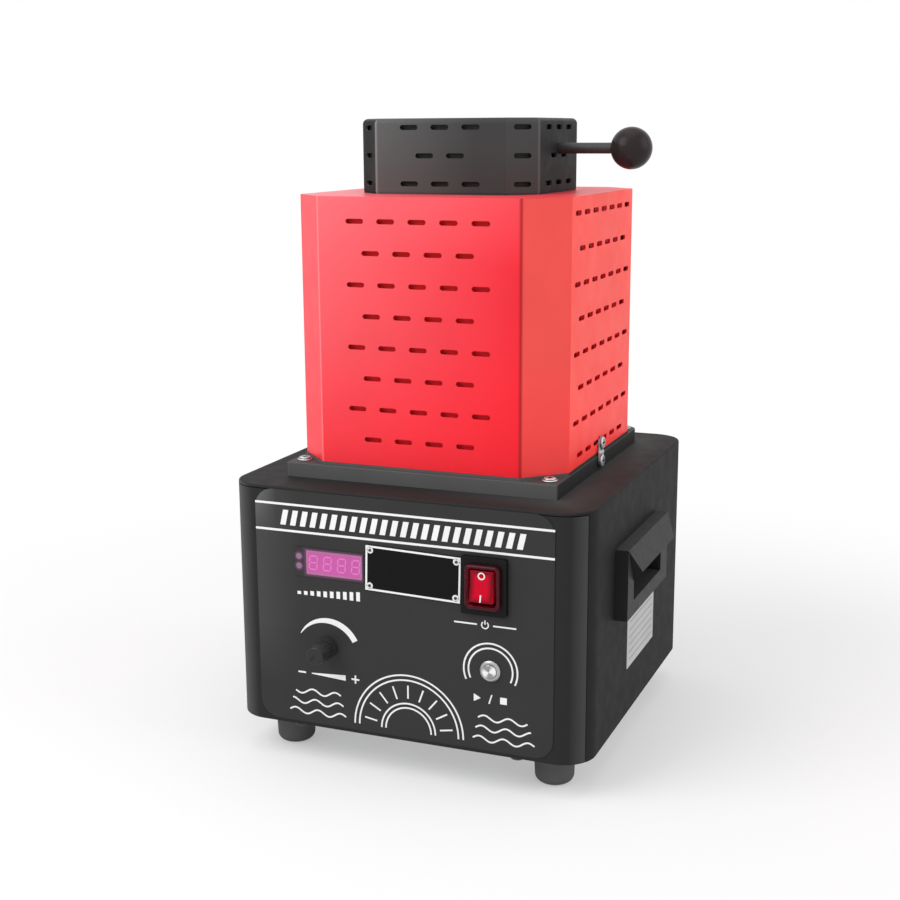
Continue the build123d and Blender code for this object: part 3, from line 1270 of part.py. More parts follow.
def fan_rotor():
    """Cup-shaped hub with its shaft and twisted blades."""
    y0 = REAR_IN - FAN_D + FAN_PLATE_T + FAN_BLADE_GAP
    hub = disc_y(FAN_HUB_R, 0, 0, 0, FAN_HUB_L)
    hub -= disc_y(FAN_HUB_R - FAN_BLADE_T, 0, 0, 0, FAN_HUB_L - FAN_BLADE_T)
    tip_r = FAN_BORE_R - FAN_BLADE_GAP
    keep = along_y(Circle(tip_r) - Circle(FAN_HUB_R - FAN_BLADE_T / 2), 0, FAN_HUB_L)
    middle = (tip_r + FAN_HUB_R) / 2
    rotor = hub
    for i in range(FAN_BLADES):
        blade = Pos(middle, 0, 0) * Rot(FAN_PITCH, 0, 0) * Box(FAN_BORE_R, FAN_BLADE_L, FAN_BLADE_T)
        blade = Rot(0, 360 / FAN_BLADES * i, 0) * blade
        rotor += (Pos(0, FAN_HUB_L / 2, 0) * blade) & keep
    rotor += disc_y(FAN_SHAFT_R, 0, 0, -FAN_BLADE_GAP - FAN_PLATE_T, FAN_HUB_L)
    return Pos(FAN_X, y0, FAN_Z) * rotor


# ---------------------------------------------------------------- power inlet and fuse
def inlet_screw_xs():
    return [INLET_X - INLET_SCREWS / 2, INLET_X + INLET_SCREWS / 2]


def pin_places():
    """Three contact blades in a triangle."""
    low = INLET_Z - PIN_RISE / 2
    return [
        (INLET_X - PIN_PITCH / 2, low),
        (INLET_X + PIN_PITCH / 2, low),
        (INLET_X, low + PIN_RISE),
    ]


def power_inlet():
    """The recessed mains socket in the rear panel."""
    flange = Pos(INLET_X, INLET_Z) * RectangleRounded(INLET_FLANGE_W, INLET_FLANGE_H, INLET_FLANGE_R)
    shape = along_y(flange, REAR_Y, REAR_Y + INLET_FLANGE_T)
    housing = Pos(INLET_X, INLET_Z) * Rectangle(INLET_W, INLET_H)
    shape += along_y(housing, REAR_Y - INLET_D, REAR_Y)
    recess = Pos(INLET_X, INLET_Z) * Rectangle(INLET_W - 2 * INLET_WALL, INLET_H - 2 * INLET_WALL)
    mouth = REAR_Y + INLET_FLANGE_T
    shape -= along_y(recess, mouth - INLET_RECESS, mouth)
    blade = Rectangle(PIN_T, PIN_W)
    cuts = [along_y(Pos(x, z) * blade, REAR_Y - INLET_D, mouth) for x, z in pin_places()]
    cuts += [disc_y(M3_HOLE_R, x, INLET_Z, REAR_Y, mouth) for x in inlet_screw_xs()]
    return shape - cuts


def contact_tabs():
    """The inlet's three blades and the switch's four tabs."""
    blade = Rectangle(PIN_T, PIN_W)
    inner = REAR_Y - INLET_D - TERMINAL_L
    tip = REAR_Y + INLET_FLANGE_T - INLET_RECESS + PIN_L
    tabs = [along_y(Pos(x, z) * blade, inner, tip) for x, z in pin_places()]
    tab = Rectangle(TERMINAL_W, TERMINAL_T)
    y0 = LABEL_Y + SWITCH_BODY_D
    tabs += [along_y(Pos(x, z) * tab, y0, y0 + TERMINAL_L) for x, z in tab_places()]
    return group(tabs)


def rear_screws():
    """The fan's four long screws and the inlet's two short ones."""
    long = FACING_REAR * screw(M4_HEAD_R, M4_HEAD_H, M4_R, CASE_SHEET + FAN_D)
    short = FACING_REAR * screw(M3_HEAD_R, M3_HEAD_H, M3_R, INLET_SCREW_L)
    mouth = REAR_Y + INLET_FLANGE_T
    screws = [Pos(x, REAR_Y, z) * long for x, z in fan_screw_places()]
    return group(screws + [Pos(x, mouth, INLET_Z) * short for x in inlet_screw_xs()])


def fuse_holder():
    """The holder through the rear panel, and its slotted cap."""
    body = disc_y(FUSE_R, FUSE_X, FUSE_Z, REAR_Y - FUSE_L, REAR_Y)
    body += disc_y(FUSE_FLANGE_R, FUSE_X, FUSE_Z, REAR_Y, REAR_Y + FUSE_FLANGE_T)
    end = REAR_Y + REAR_REACH
    cap = disc_y(FUSE_CAP_R, FUSE_X, FUSE_Z, REAR_Y + FUSE_FLANGE_T, end)
    slot = Pos(FUSE_X, FUSE_Z) * Rectangle(FUSE_SLOT_L, FUSE_SLOT_W)
    return group([body, cap - along_y(slot, end - FUSE_SLOT_D, end)])


# ---------------------------------------------------------------- power electronics
def pcb_post_places():
    x = PCB_W / 2 - PCB_POST_IN
    y = PCB_D / 2 - PCB_POST_IN
    return [(a, PCB_Y + b) for a in (-x, x) for b in (-y, y)]


def board_posts():
    """Posts of both boards, and the screws that hold the power board down."""
    one = screw(M3_HEAD_R, M3_HEAD_H, M3_R, PCB_T)
    posts = [disc_z(PCB_POST_R, x, y, PAN_Z1, PCB_Z0) for x, y in pcb_post_places()]
    posts += [Pos(x, y, PCB_Z1) * one for x, y in pcb_post_places()]
    y1 = LABEL_Y + MODULE_D
    return group(posts + [disc_y(SPACER_R, x, z, PANEL_BACK, y1) for x, z in spacer_places()])


def power_board():
    board = along_z(Pos(0, PCB_Y) * Rectangle(PCB_W, PCB_D), PCB_Z0, PCB_Z1)
    return board - [disc_z(M3_R, x, y, PCB_Z0, PCB_Z1) for x, y in pcb_post_places()]


def heat_sinks():
    """Two finned blocks over the power transistors."""
    profile = Pos(0, PCB_Z1 + SINK_BASE / 2) * Rectangle(SINK_W, SINK_BASE)
    for x in spread(SINK_FINS, (SINK_W - SINK_FIN_T) / (SINK_FINS - 1)):
        fin = Rectangle(SINK_FIN_T, SINK_H)
        profile += Pos(x, PCB_Z1 + SINK_H / 2) * fin
    y0 = FRONT_Y + SINK_BACK
    block = along_y(profile, y0, y0 + SINK_L)
    return group([Pos(-SINK_X, 0, 0) * block, Pos(SINK_X, 0, 0) * block])


def capacitors():
    """A row of box capacitors across the coil, and two smoothing cans."""
    y0 = FRONT_Y + CAP_BACK - CAP_L / 2
    z1 = PCB_Z1 + CAP_H
    half = CAP_W / 2
    row = spread(CAP_COUNT, CAP_PITCH)
    boxes = [box(x - half, x + half, y0, y0 + CAP_L, PCB_Z1, z1) for x in row]
    can = disc_z(FILTER_R, 0, FRONT_Y + FILTER_BACK, PCB_Z1, PCB_Z1 + FILTER_H)
    can = fillet(can.edges().group_by(Axis.Z)[-1], FILTER_EDGE_R)
    return group(boxes + [Pos(x, 0, 0) * can for x in (-FILTER_X, FILTER_X)])


def coil_terminals():
    """Brass blocks on the board that clamp the coil's two leads."""
    half = LUG_SIZE / 2
    lugs = []
    for x, y in lead_places():
        lug = box(x - half, x + half, y - half, y + half, PCB_Z1, LUG_Z1)
        lugs.append(lug - disc_z(COIL_TUBE_R, x, y, LUG_Z1 - half, LUG_Z1))
    return group(lugs)


def wire(points):
    path = FilletPolyline(*points, radius=WIRE_BEND_R)
    return sweep(Plane(path @ 0, z_dir=path % 0) * Circle(WIRE_R), path=path)


def mains_wires():
    """From the inlet's two lower blades forward to the switch's two right-hand tabs."""
    start = REAR_Y - INLET_D - TERMINAL_L
    end = LABEL_Y + SWITCH_BODY_D + TERMINAL_L
    lower, upper = sorted(place for place in tab_places() if place[0] > SWITCH_X)
    lane = upper[0] + WIRE_PITCH
    tails = [
        [(lower[0], end, lower[1])],
        [(upper[0], end + WIRE_BEND_R / 2, upper[1]), (upper[0], end, upper[1])],
    ]
    wires = []
    for (x, z), across, tail, rise in zip(pin_places(), (lower[0], lane), tails, WIRE_RISES):
        points = [
            (x, start, z),
            (x, start - WIRE_STUB, z),
            (across, start - WIRE_STUB - WIRE_SLANT, z),
            (across, end + rise, z),
            (across, end + rise, tail[0][2]),
        ]
        wires.append(wire(points + tail))
    return group(wires)


# ---------------------------------------------------------------- nodes
PARTS = [
    case_cover,
    front_panel,
    rear_panel,
    base_pan,
    seam_strips,
    feet,
    bottom_screws,
    nuts,
    deck_tray,
    deck_board,
    tray_screws,
    lead_bushings,
    side_straps,
    strap_screws,
    furnace_shell,
    shell_top,
    inner_jacket,
    fibre_blanket,
    bottom_brick,
    furnace_cup,
    mouth_collar,
    coil,
    crucible_pad,
    crucible,
    lid_shell,
    lid_plate,
    lid_block,
    handle_rod,
    handle_ball,
    handle_nut,
    front_label,
    display_window,
    display_module,
    indicator_lamps,
    control_board,
    nameplate,
    nameplate_rivets,
    switch_body,
    switch_boot,
    rocker,
    adjust_control,
    spindle,
    knob,
    button_barrel,
    button_cap,
    button_spring,
    grip_right,
    grip_left,
    fan_frame,
    fan_rotor,
    power_inlet,
    contact_tabs,
    rear_screws,
    fuse_holder,
    board_posts,
    power_board,
    heat_sinks,
    capacitors,
    coil_terminals,
    mains_wires,
]

if __name__ == "__main__":
    os.makedirs("parts", exist_ok=True)
    for make in PARTS:
        export_step(make(), f"parts/{make.__name__}.step")
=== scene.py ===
"""Looks of a bench-top gold melting furnace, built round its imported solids. Metres, +Z up, -Y the front."""

import bmesh
import bpy
import json
import math
from mathutils import Matrix, Vector


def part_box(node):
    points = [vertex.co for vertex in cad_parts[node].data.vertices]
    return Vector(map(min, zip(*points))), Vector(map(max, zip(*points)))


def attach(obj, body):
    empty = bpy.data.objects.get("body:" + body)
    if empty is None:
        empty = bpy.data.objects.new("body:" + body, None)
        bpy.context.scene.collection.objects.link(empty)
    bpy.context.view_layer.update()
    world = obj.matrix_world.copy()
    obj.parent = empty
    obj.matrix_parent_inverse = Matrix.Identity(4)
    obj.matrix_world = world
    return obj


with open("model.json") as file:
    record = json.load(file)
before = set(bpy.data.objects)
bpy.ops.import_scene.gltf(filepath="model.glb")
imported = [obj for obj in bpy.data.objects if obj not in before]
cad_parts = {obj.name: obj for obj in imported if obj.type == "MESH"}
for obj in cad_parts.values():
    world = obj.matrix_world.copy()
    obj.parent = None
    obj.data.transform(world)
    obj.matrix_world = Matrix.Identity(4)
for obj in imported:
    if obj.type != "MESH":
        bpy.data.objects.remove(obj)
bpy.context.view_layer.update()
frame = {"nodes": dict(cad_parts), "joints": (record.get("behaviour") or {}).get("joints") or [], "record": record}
NODES = frame["nodes"]
JOINTS = {joint["name"]: joint for joint in frame["joints"]}
MM = 0.001
INK_T = 0.05  # millimetres, thickness of a printed mark


# ---------------------------------------------------------------- camera
TARGET = Vector((-11.0, 0.0, 163.4)) * MM
CAMERA_AZIMUTH = 21.932  # degrees round from the front, towards the right side
CAMERA_HEIGHT = 12.412  # degrees above the horizon
CAMERA_ROLL = -0.296
CAMERA_DISTANCE = 863.4 * MM
LENS = 58.06
SENSOR = 36.0


def direction(azimuth, elevation):
    """Unit vector from the object towards a viewer at these angles, in degrees."""
    a = math.radians(azimuth)
    e = math.radians(elevation)
    return Vector((math.sin(a) * math.cos(e), -math.cos(a) * math.cos(e), math.sin(e)))


def make_camera():
    data = bpy.data.cameras.new("camera")
    data.lens = LENS
    data.sensor_width = SENSOR
    data.clip_start = 0.01
    data.clip_end = 50.0
    camera = bpy.data.objects.new("camera", data)
    bpy.context.scene.collection.objects.link(camera)
    back = direction(CAMERA_AZIMUTH, CAMERA_HEIGHT)
    level = back.to_track_quat("Z", "Y")
    roll = Matrix.Rotation(math.radians(CAMERA_ROLL), 4, "Z")
    camera.matrix_world = Matrix.Translation(TARGET + back * CAMERA_DISTANCE) @ level.to_matrix().to_4x4() @ roll
    bpy.context.scene.camera = camera


make_camera()


# ---------------------------------------------------------------- material helpers
class Nodes:
    """A material being built: its node tree and its principled shader."""

    def __init__(self, name, color, rough=0.5, metallic=0.0):
        self.material = bpy.data.materials.new(name)
        self.material.use_nodes = True
        self.tree = self.material.node_tree
        self.shader = self.tree.nodes["Principled BSDF"]
        self.shader.inputs["Base Color"].default_value = (*color, 1)
        self.shader.inputs["Roughness"].default_value = rough
        self.shader.inputs["Metallic"].default_value = metallic
        self.bump = None

    def soft_edges(self, radius_mm):
        """Shades sharp edges as if they were rounded a little."""
        node = self.add("ShaderNodeBevel", samples=4)
        node.inputs["Radius"].default_value = radius_mm * MM
        self.bump = node.outputs["Normal"]
        return self

    def axis(self, index):
        """One object coordinate, 0 for X, 1 for Y and 2 for Z, in metres."""
        where = self.add("ShaderNodeTexCoord")
        split = self.add("ShaderNodeSeparateXYZ")
        self.link(where.outputs["Object"], split.inputs[0])
        return split.outputs[index]

    def facing(self, index):
        """How far the surface faces along one object axis, from -1 to 1."""
        where = self.add("ShaderNodeTexCoord")
        split = self.add("ShaderNodeSeparateXYZ")
        self.link(where.outputs["Normal"], split.inputs[0])
        return split.outputs[index]

    def sum(self, operation, *values):
        """One arithmetic step on sockets or numbers."""
        node = self.add("ShaderNodeMath", operation=operation)
        for value, socket in zip(values, node.inputs):
            if isinstance(value, (int, float)):
                socket.default_value = value
            else:
                self.link(value, socket)
        return node.outputs[0]

    def outside(self, u, v, half_u, half_v, axes=(0, 2)):
        """Millimetres outside a rectangle along two axes, and less than 0 inside it."""
        past_u = self.sum("ABSOLUTE", self.sum("SUBTRACT", self.axis(axes[0]), u * MM))
        past_v = self.sum("ABSOLUTE", self.sum("SUBTRACT", self.axis(axes[1]), v * MM))
        past = self.sum("MAXIMUM", self.sum("SUBTRACT", past_u, half_u * MM), self.sum("SUBTRACT", past_v, half_v * MM))
        return self.sum("DIVIDE", past, MM)

    def beyond(self, u, v, radius, axes=(0, 2)):
        """Millimetres outside a circle across two axes."""
        du = self.sum("SUBTRACT", self.axis(axes[0]), u * MM)
        dv = self.sum("SUBTRACT", self.axis(axes[1]), v * MM)
        far = self.sum("SQRT", self.sum("ADD", self.sum("MULTIPLY", du, du), self.sum("MULTIPLY", dv, dv)))
        return self.sum("SUBTRACT", self.sum("DIVIDE", far, MM), radius)

    def multiply(self, a, b):
        return self.sum("MULTIPLY", a, b)

    def fold(self, x, y, near, far):
        """1 along an upright fold, up to near millimetres from it, and 0 from far on."""
        return self.spread(self.beyond(x, y, 0, (0, 1)), 1, 0, near, far)

    def add(self, kind, **values):
        node = self.tree.nodes.new(kind)
        for key, value in values.items():
            setattr(node, key, value)
        return node

    def link(self, a, b):
        self.tree.links.new(a, b)

    def set(self, **values):
        """Uniform values of the shader's own sockets, with _ for spaces."""
        for key, value in values.items():
            self.shader.inputs[key.replace("_", " ")].default_value = value
        return self

    def place(self, scale=(1, 1, 1)):
        """Object coordinates, which are the row's metres, stretched by scale."""
        where = self.add("ShaderNodeTexCoord")
        mapping = self.add("ShaderNodeMapping")
        mapping.inputs["Scale"].default_value = scale
        self.link(where.outputs["Object"], mapping.inputs["Vector"])
        return mapping.outputs["Vector"]

    def noise(self, size_mm, detail=3.0, stretch=(1, 1, 1), rough=0.5):
        """Noise whose features are about size_mm across, from 0 to 1."""
        node = self.add("ShaderNodeTexNoise")
        node.inputs["Scale"].default_value = 1 / (size_mm * MM)
        node.inputs["Detail"].default_value = detail
        node.inputs["Roughness"].default_value = rough
        self.link(self.place(stretch), node.inputs["Vector"])
        return node.outputs["Fac"]

    def spread(self, fac, low, high, start=0.3, end=0.7):
        """A number that runs from low to high as fac goes from start to end."""
        node = self.add("ShaderNodeMapRange")
        node.inputs["From Min"].default_value = start
        node.inputs["From Max"].default_value = end
        node.inputs["To Min"].default_value = low
        node.inputs["To Max"].default_value = high
        self.link(fac, node.inputs["Value"])
        return node.outputs["Result"]

    def mix(self, fac, a, b):
        """A colour between a and b, each a colour or a socket."""
        node = self.add("ShaderNodeMix", data_type="RGBA")
        self.link(fac, node.inputs["Factor"])
        for value, socket in ((a, node.inputs[6]), (b, node.inputs[7])):
            if isinstance(value, tuple):
                socket.default_value = (*value, 1)
            else:
                self.link(value, socket)
        return node.outputs[2]

    def color(self, socket):
        self.link(socket, self.shader.inputs["Base Color"])
        return self

    def roughness(self, fac, low, high):
        self.link(self.spread(fac, low, high), self.shader.inputs["Roughness"])
        return self

    def bumps(self, fac, depth_mm, strength=1.0):
        """Adds height, in millimetres for fac going from 0 to 1."""
        node = self.add("ShaderNodeBump")
        node.inputs["Strength"].default_value = strength
        node.inputs["Distance"].default_value = depth_mm * MM
        self.link(fac, node.inputs["Height"])
        if self.bump is not None:
            self.link(self.bump, node.inputs["Normal"])
        self.bump = node.outputs["Normal"]
        self.link(self.bump, self.shader.inputs["Normal"])
        return self


def node_box(node):
    """Lowest and highest corner of a node, in millimetres."""
    low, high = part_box(node)
    return low / MM, high / MM


def shade(color, factor):
    return tuple(c * factor for c in color)


def hex_color(text):
    """Linear colour of a web colour."""
    values = [int(text[i:i + 2], 16) / 255 for i in (0, 2, 4)]
    return tuple(v / 12.92 if v <= 0.04045 else ((v + 0.055) / 1.055) ** 2.4 for v in values)


def face_shaded(m, color, left=1.0, right=1.0, front=1.0, top=1.0):
    """Painted light and shade: a paint colour made lighter or darker by the way each face turns, as lamps would light
    it.
    """
    result = color
    for index, sign, factor in ((0, -1, left), (0, 1, right), (1, -1, front), (2, 1, top)):
        if factor != 1:
            turned = m.spread(m.sum("MULTIPLY", m.facing(index), sign), 0, 1, 0.15, 0.7)
            result = m.mix(turned, result, shade(color, factor))
    return result


def clouded(m, color, variation, size_mm=38.0):
    """A colour that is a little lighter and darker in soft patches."""
    cloud = m.spread(m.noise(size_mm, 3.0), 1 - variation, 1 + variation)
    tone = m.add("ShaderNodeVectorMath", operation="SCALE")
    if isinstance(color, tuple):
        tone.inputs[0].default_value = color
    else:
        m.link(color, tone.inputs[0])
    m.link(cloud, tone.inputs["Scale"])
    return m.color(tone.outputs[0])


def painted(name, color, rough, grain_mm, grain_depth, shine=0.5, variation=0.06, wave_mm=6.0, edge=0.35, paint=None,
            **face_shades):
    """Baked paint: slight cloudiness, fine grain and the soft waviness of a sprayed coat, with painted light and shade
    on the faces that the face factors pick out.
    """
    m = Nodes(name, color, rough)
    m.soft_edges(edge)
    clouded(m, paint(m, **face_shades) if paint else face_shaded(m, color, **face_shades), variation)
    m.roughness(m.noise(9.0, 4.0), rough - 0.04, rough + 0.05)
    m.bumps(m.noise(wave_mm, 1.0), 0.01)
    m.bumps(m.noise(grain_mm, 2.0), grain_depth)
    m.set(Specular_IOR_Level=shine)
    return m.material


def metal(name, color, rough, streak=(1, 1, 1), depth=0.01, stain=0.12, recess_shade_mm=0.0):
    """Plated or turned metal: fine directional marks, faint stains, uneven gloss and painted shade in its recesses."""
    m = Nodes(name, color, rough, 1.0)
    stains = m.noise(5.0, 4.0)
    stained_and_shaded = m.mix(m.spread(stains, 0, 1), shade(color, 1 - stain), color)
    if recess_shade_mm:
        # painted shade: darker where the surface is closed in, as in a screw's cross recess
        open_sky = m.add("ShaderNodeAmbientOcclusion", samples=8)
        open_sky.inputs["Distance"].default_value = recess_shade_mm * MM
        stained_and_shaded = m.mix(m.spread(open_sky.outputs["AO"], 0, 1, 0.55, 0.9), RECESS_SHADE, stained_and_shaded)
    m.color(stained_and_shaded)
    marks = m.noise(0.5, 2.0, streak)
    m.roughness(marks, max(0.05, rough - 0.1), rough + 0.12)
    m.bumps(marks, depth)
    return m.material


def plastic(name, color, rough, grain_mm=0.5, depth=0.02, variation=0.08, shine=0.5, edge=0.2, paint=None, **face_shades):
    """Moulded plastic with a spark-eroded grain. paint may return another colour socket for it. The face factors add
    painted light and shade by the way each face turns.
    """
    m = Nodes(name, color, rough)
    m.soft_edges(edge)
    clouded(m, paint(m) if paint else face_shaded(m, color, **face_shades), variation, 22.0)
    m.roughness(m.noise(3.0, 3.0), rough - 0.05, rough + 0.06)
    m.bumps(m.noise(grain_mm, 2.0, rough=0.6), depth)
    m.set(Specular_IOR_Level=shine)
    return m.material


def mineral(name, color, rough, pore_mm, depth, variation=0.12):
    """Cast refractory or graphite: blotches, pits and a dusty surface."""
    m = Nodes(name, color, rough)
    blotch = m.noise(pore_mm * 6, 5.0)
    m.color(m.mix(m.spread(blotch, 0, 1), shade(color, 1 - variation), shade(color, 1 + variation)))
    m.roughness(m.noise(pore_mm * 2, 3.0), rough - 0.08, rough + 0.04)
    m.bumps(m.noise(pore_mm, 6.0, rough=0.7), depth)
    return m.material


def enamel(name):
    """Glossy red stove enamel with painted light: a painted sheen towards the upper left and along the top, lit and
    shaded tones by the way each face turns, less sheen lower down, painted shade along the right front fold and a
    painted highlight along the left one.
    """
    rough = 0.38
    m = Nodes(name, RED, rough)
    m.soft_edges(0.4)
    # painted sheen: paler towards the upper left, and along the top
    left = m.spread(m.axis(0), 1, 0, -0.075, 0.07)
    high = m.spread(m.axis(2), 0.25, 1, 0.17, 0.33)
    shaded = m.mix(m.multiply(left, high), RED, SHEEN_RED)
    shaded = m.mix(m.spread(m.axis(2), 0, 0.3, 0.28, 0.32), shaded, SHEEN_RED)
    # painted light and shade by the way each face turns
    shaded = m.mix(m.spread(m.facing(0), 0, 1, -0.72, -0.3), m.mix(high, RED, LEFT_LIT_RED), shaded)
    shaded = m.mix(m.spread(m.facing(0), 0, 1, 0.3, 0.7), shaded, CORNER_LIT_RED)
    shaded = m.mix(m.spread(m.facing(0), 0, 1, 0.75, 0.95), shaded, RIGHT_LIT_RED)
    # painted: less sheen, a deeper red, lower down
    low_without_sheen = m.add("ShaderNodeMix", data_type="RGBA", blend_type="MULTIPLY")
    m.link(m.spread(m.axis(2), 1, 0, 0.165, 0.235), low_without_sheen.inputs["Factor"])
    m.link(shaded, low_without_sheen.inputs[6])
    low_without_sheen.inputs[7].default_value = (1.19, 0.7, 0.8, 1)
    low, high = node_box("furnace_shell")
    middle = (low + high) / 2
    fold_x = high.x - middle.x - SHELL_CUT
    # painted shade along the right front fold and a painted highlight along the left one
    shaded = m.mix(m.multiply(m.fold(middle.x + fold_x, low.y, 0.2, 1.5), 0.8), low_without_sheen.outputs[2], FOLD_SHADE_RED)
    shaded = m.mix(m.multiply(m.fold(middle.x - fold_x, low.y, 0.2, 0.9), 0.45), shaded, FOLD_HIGHLIGHT_RED)
    clouded(m, shaded, 0.04, 45.0)
    m.roughness(m.noise(12.0, 4.0), rough - 0.03, rough + 0.05)
    m.bumps(m.noise(7.0, 1.0), 0.015)
    m.bumps(m.noise(0.9, 2.0), 0.005)
    m.set(Specular_IOR_Level=0.25)
    return m.material


def lid_enamel(name):
    """Matt grey paint with painted light: a painted highlight towards the left of the front, painted shade on the left
    faces and the right side, a lighter right chamfer, and painted highlights along four upright folds.
    """
    m = Nodes(name, LID_GREY, 0.6)
    m.soft_edges(0.35)
    # painted highlight towards the left of the front, painted shade and light on the other faces
    across = m.spread(m.axis(0), 1, 0, -0.045, 0.02)
    grey = m.mix(across, LID_GREY, LID_HIGHLIGHT)
    grey = m.mix(m.spread(m.facing(0), 1, 0, -0.6, -0.2), grey, LID_LEFT_SHADE)
    grey = m.mix(m.spread(m.facing(0), 0, 1, 0.3, 0.6), grey, shade(LID_GREY, 1.35))
    grey = m.mix(m.spread(m.facing(0), 0, 1, 0.75, 0.95), grey, LID_RIGHT_SHADE)
    low, high = node_box("lid_shell")
    middle = (low + high) / 2
    fold_x = high.x - middle.x - LID_CUT
    fold_y = high.y - middle.y - LID_CUT
    # painted highlights along the upright folds
    for x, y, highlight in ((-fold_x, low.y - middle.y, 0.75), (fold_x, high.y - middle.y, 0.75),
                       (high.x - middle.x, -fold_y, 0.32), (low.x - middle.x, fold_y, 0.32)):
        grey = m.mix(m.multiply(m.fold(middle.x + x, middle.y + y, 0.3, 1.3), highlight), grey, LID_FOLD_HIGHLIGHT)
    clouded(m, grey, 0.05)
    m.roughness(m.noise(9.0, 4.0), 0.56, 0.66)
    m.bumps(m.noise(6.0, 1.0), 0.012)
    m.bumps(m.noise(0.4, 2.0), 0.01)
    m.set(Specular_IOR_Level=0.12)
    return m.material


def case_grey(m, **face_shades):
    """The case's grey, with painted light and shade by the way each face turns, and a paler strip of painted light on
    its top sheet along the right side of the tray, against the shade there.
    """
    low, high = node_box("deck_tray")
    middle = (low + high) / 2
    # painted light against the shade beside the tray
    gap = m.outside(middle.x, middle.y, high.x - middle.x, high.y - middle.y, (0, 1))
    lit_strip = m.multiply(m.spread(gap, 1, 0, 2.0, 20.0), m.spread(m.axis(0), 0, 1, middle.x * MM, high.x * MM))
    lit_strip = m.multiply(lit_strip, m.spread(m.facing(2), 0, 1, 0.6, 0.9))
    return m.mix(lit_strip, face_shaded(m, CASE_GREY, **face_shades), shade(CASE_GREY, 2.2))


def panel_grey(m, **face_shades):
    """The case's grey, with a painted highlight where the front panel has turned round its right corner, and painted
    light and shade by the way each face turns.
    """
    return m.mix(m.spread(m.facing(0), 0, 1, 0.45, 0.8), face_shaded(m, CASE_GREY, **face_shades), shade(CASE_GREY, 2.4))


def display_glow(m):
    """The label's grey, with the light of the digits and the lamps leaking round their edges."""
    low, high = node_box("display_module")
    gap = m.outside((low.x + high.x) / 2, (low.z + high.z) / 2, (high.x - low.x) / 2, (high.z - low.z) / 2)
    low, high = node_box("indicator_lamps")
    radius = (high.x - low.x) / 2
    for z in (low.z + radius, high.z - radius):
        gap = m.sum("MINIMUM", gap, m.beyond((low.x + high.x) / 2, z, radius))
    return m.mix(m.spread(gap, 1, 0, 0.1, 1.5), LABEL_GREY, hex_color("62405a"))


def display_face(m):
    """The digits' block, greyer along its edges."""
    low, high = node_box("display_module")
    gap = m.outside((low.x + high.x) / 2, (low.z + high.z) / 2, (high.x - low.x) / 2, (high.z - low.z) / 2)
    return m.mix(m.spread(gap, 0, 1, -1.5, -0.6), hex_color("c65ba5"), hex_color("b07a9a"))


def label_grey(m):
    """The printed sheet, with a painted highlight along the upper part of its left edge and a stronger one in its top
    left corner.
    """
    left = m.spread(m.axis(0), 1, 0, -0.087, -0.06)
    high = m.spread(m.axis(2), 0, 1, 0.045, 0.08)
    highlighted = m.mix(m.multiply(left, high), LABEL_GREY, shade(LABEL_GREY, 1.75))
    top = node_box("front_label")[1].z
    corner = m.multiply(m.spread(m.axis(0), 1, 0, -0.087, -0.074),
                        m.spread(m.axis(2), 0, 1, (top - 26) * MM, (top - 2) * MM))
    return m.mix(corner, highlighted, shade(LABEL_GREY, 4.5))


def rocker_face(m):
    """Painted light: bright in the middle, where the lamp behind it is, and painted shade, maroon, towards the edges;
    its side walls are painted a lit red.
    """
    low, high = node_box("rocker")
    pivot = (low + high) / 2
    edge = m.outside(pivot.x, pivot.z + 0.7, ROCKER_HALF[0], ROCKER_HALF[1])
    face = m.mix(m.spread(edge, 0, 1, -3.2, -0.2), hex_color("c80027"), hex_color("5a0814"))
    side = m.spread(m.sum("ABSOLUTE", m.facing(1)), 1, 0, 0.3, 0.7)
    return m.mix(side, face, (0.8, 0.01, 0.04))


def switch_well(m):
    """Black, and maroon inside, where the rocker's light shines on the walls of its well."""
    low, high = node_box("switch_body")
    boot_low, boot_high = node_box("switch_boot")
    middle = (boot_low + boot_high) / 2
    inside = m.spread(m.outside(middle.x, middle.z, boot_high.x - middle.x, boot_high.z - middle.z), 1, 0, -1.0, -0.5)
    deep = m.spread(m.axis(1), 0, 1, (low.y + 1.0) * MM, (low.y + 2.0) * MM)
    return m.mix(m.multiply(inside, deep), (0.007, 0.0055, 0.006), (0.5, 0.008, 0.03))


def turned_face(name, center_x, center_z, light, dark, rough):
    """Turned metal seen end on: a painted reflection of light and dark wedges round the middle, and fine rings."""
    m = Nodes(name, light, rough, 1.0)
    dx = m.sum("SUBTRACT", m.axis(0), center_x * MM)
    dz = m.sum("SUBTRACT", m.axis(2), center_z * MM)
    angle = m.sum("ARCTAN2", dz, dx)
    reflection_wedge = m.sum("SINE", m.sum("ADD", m.sum("MULTIPLY", angle, 2), REFLECTION_TURN))
    m.color(m.mix(m.spread(reflection_wedge, 0, 1, -0.5, 0.7), dark, light))
    far = m.beyond(center_x, center_z, 0)
    m.roughness(m.noise(0.6, 2.0), rough - 0.05, rough + 0.1)
    m.bumps(m.sum("SINE", m.sum("MULTIPLY", far, 2 * math.pi / 0.35)), 0.004)
    return m.material


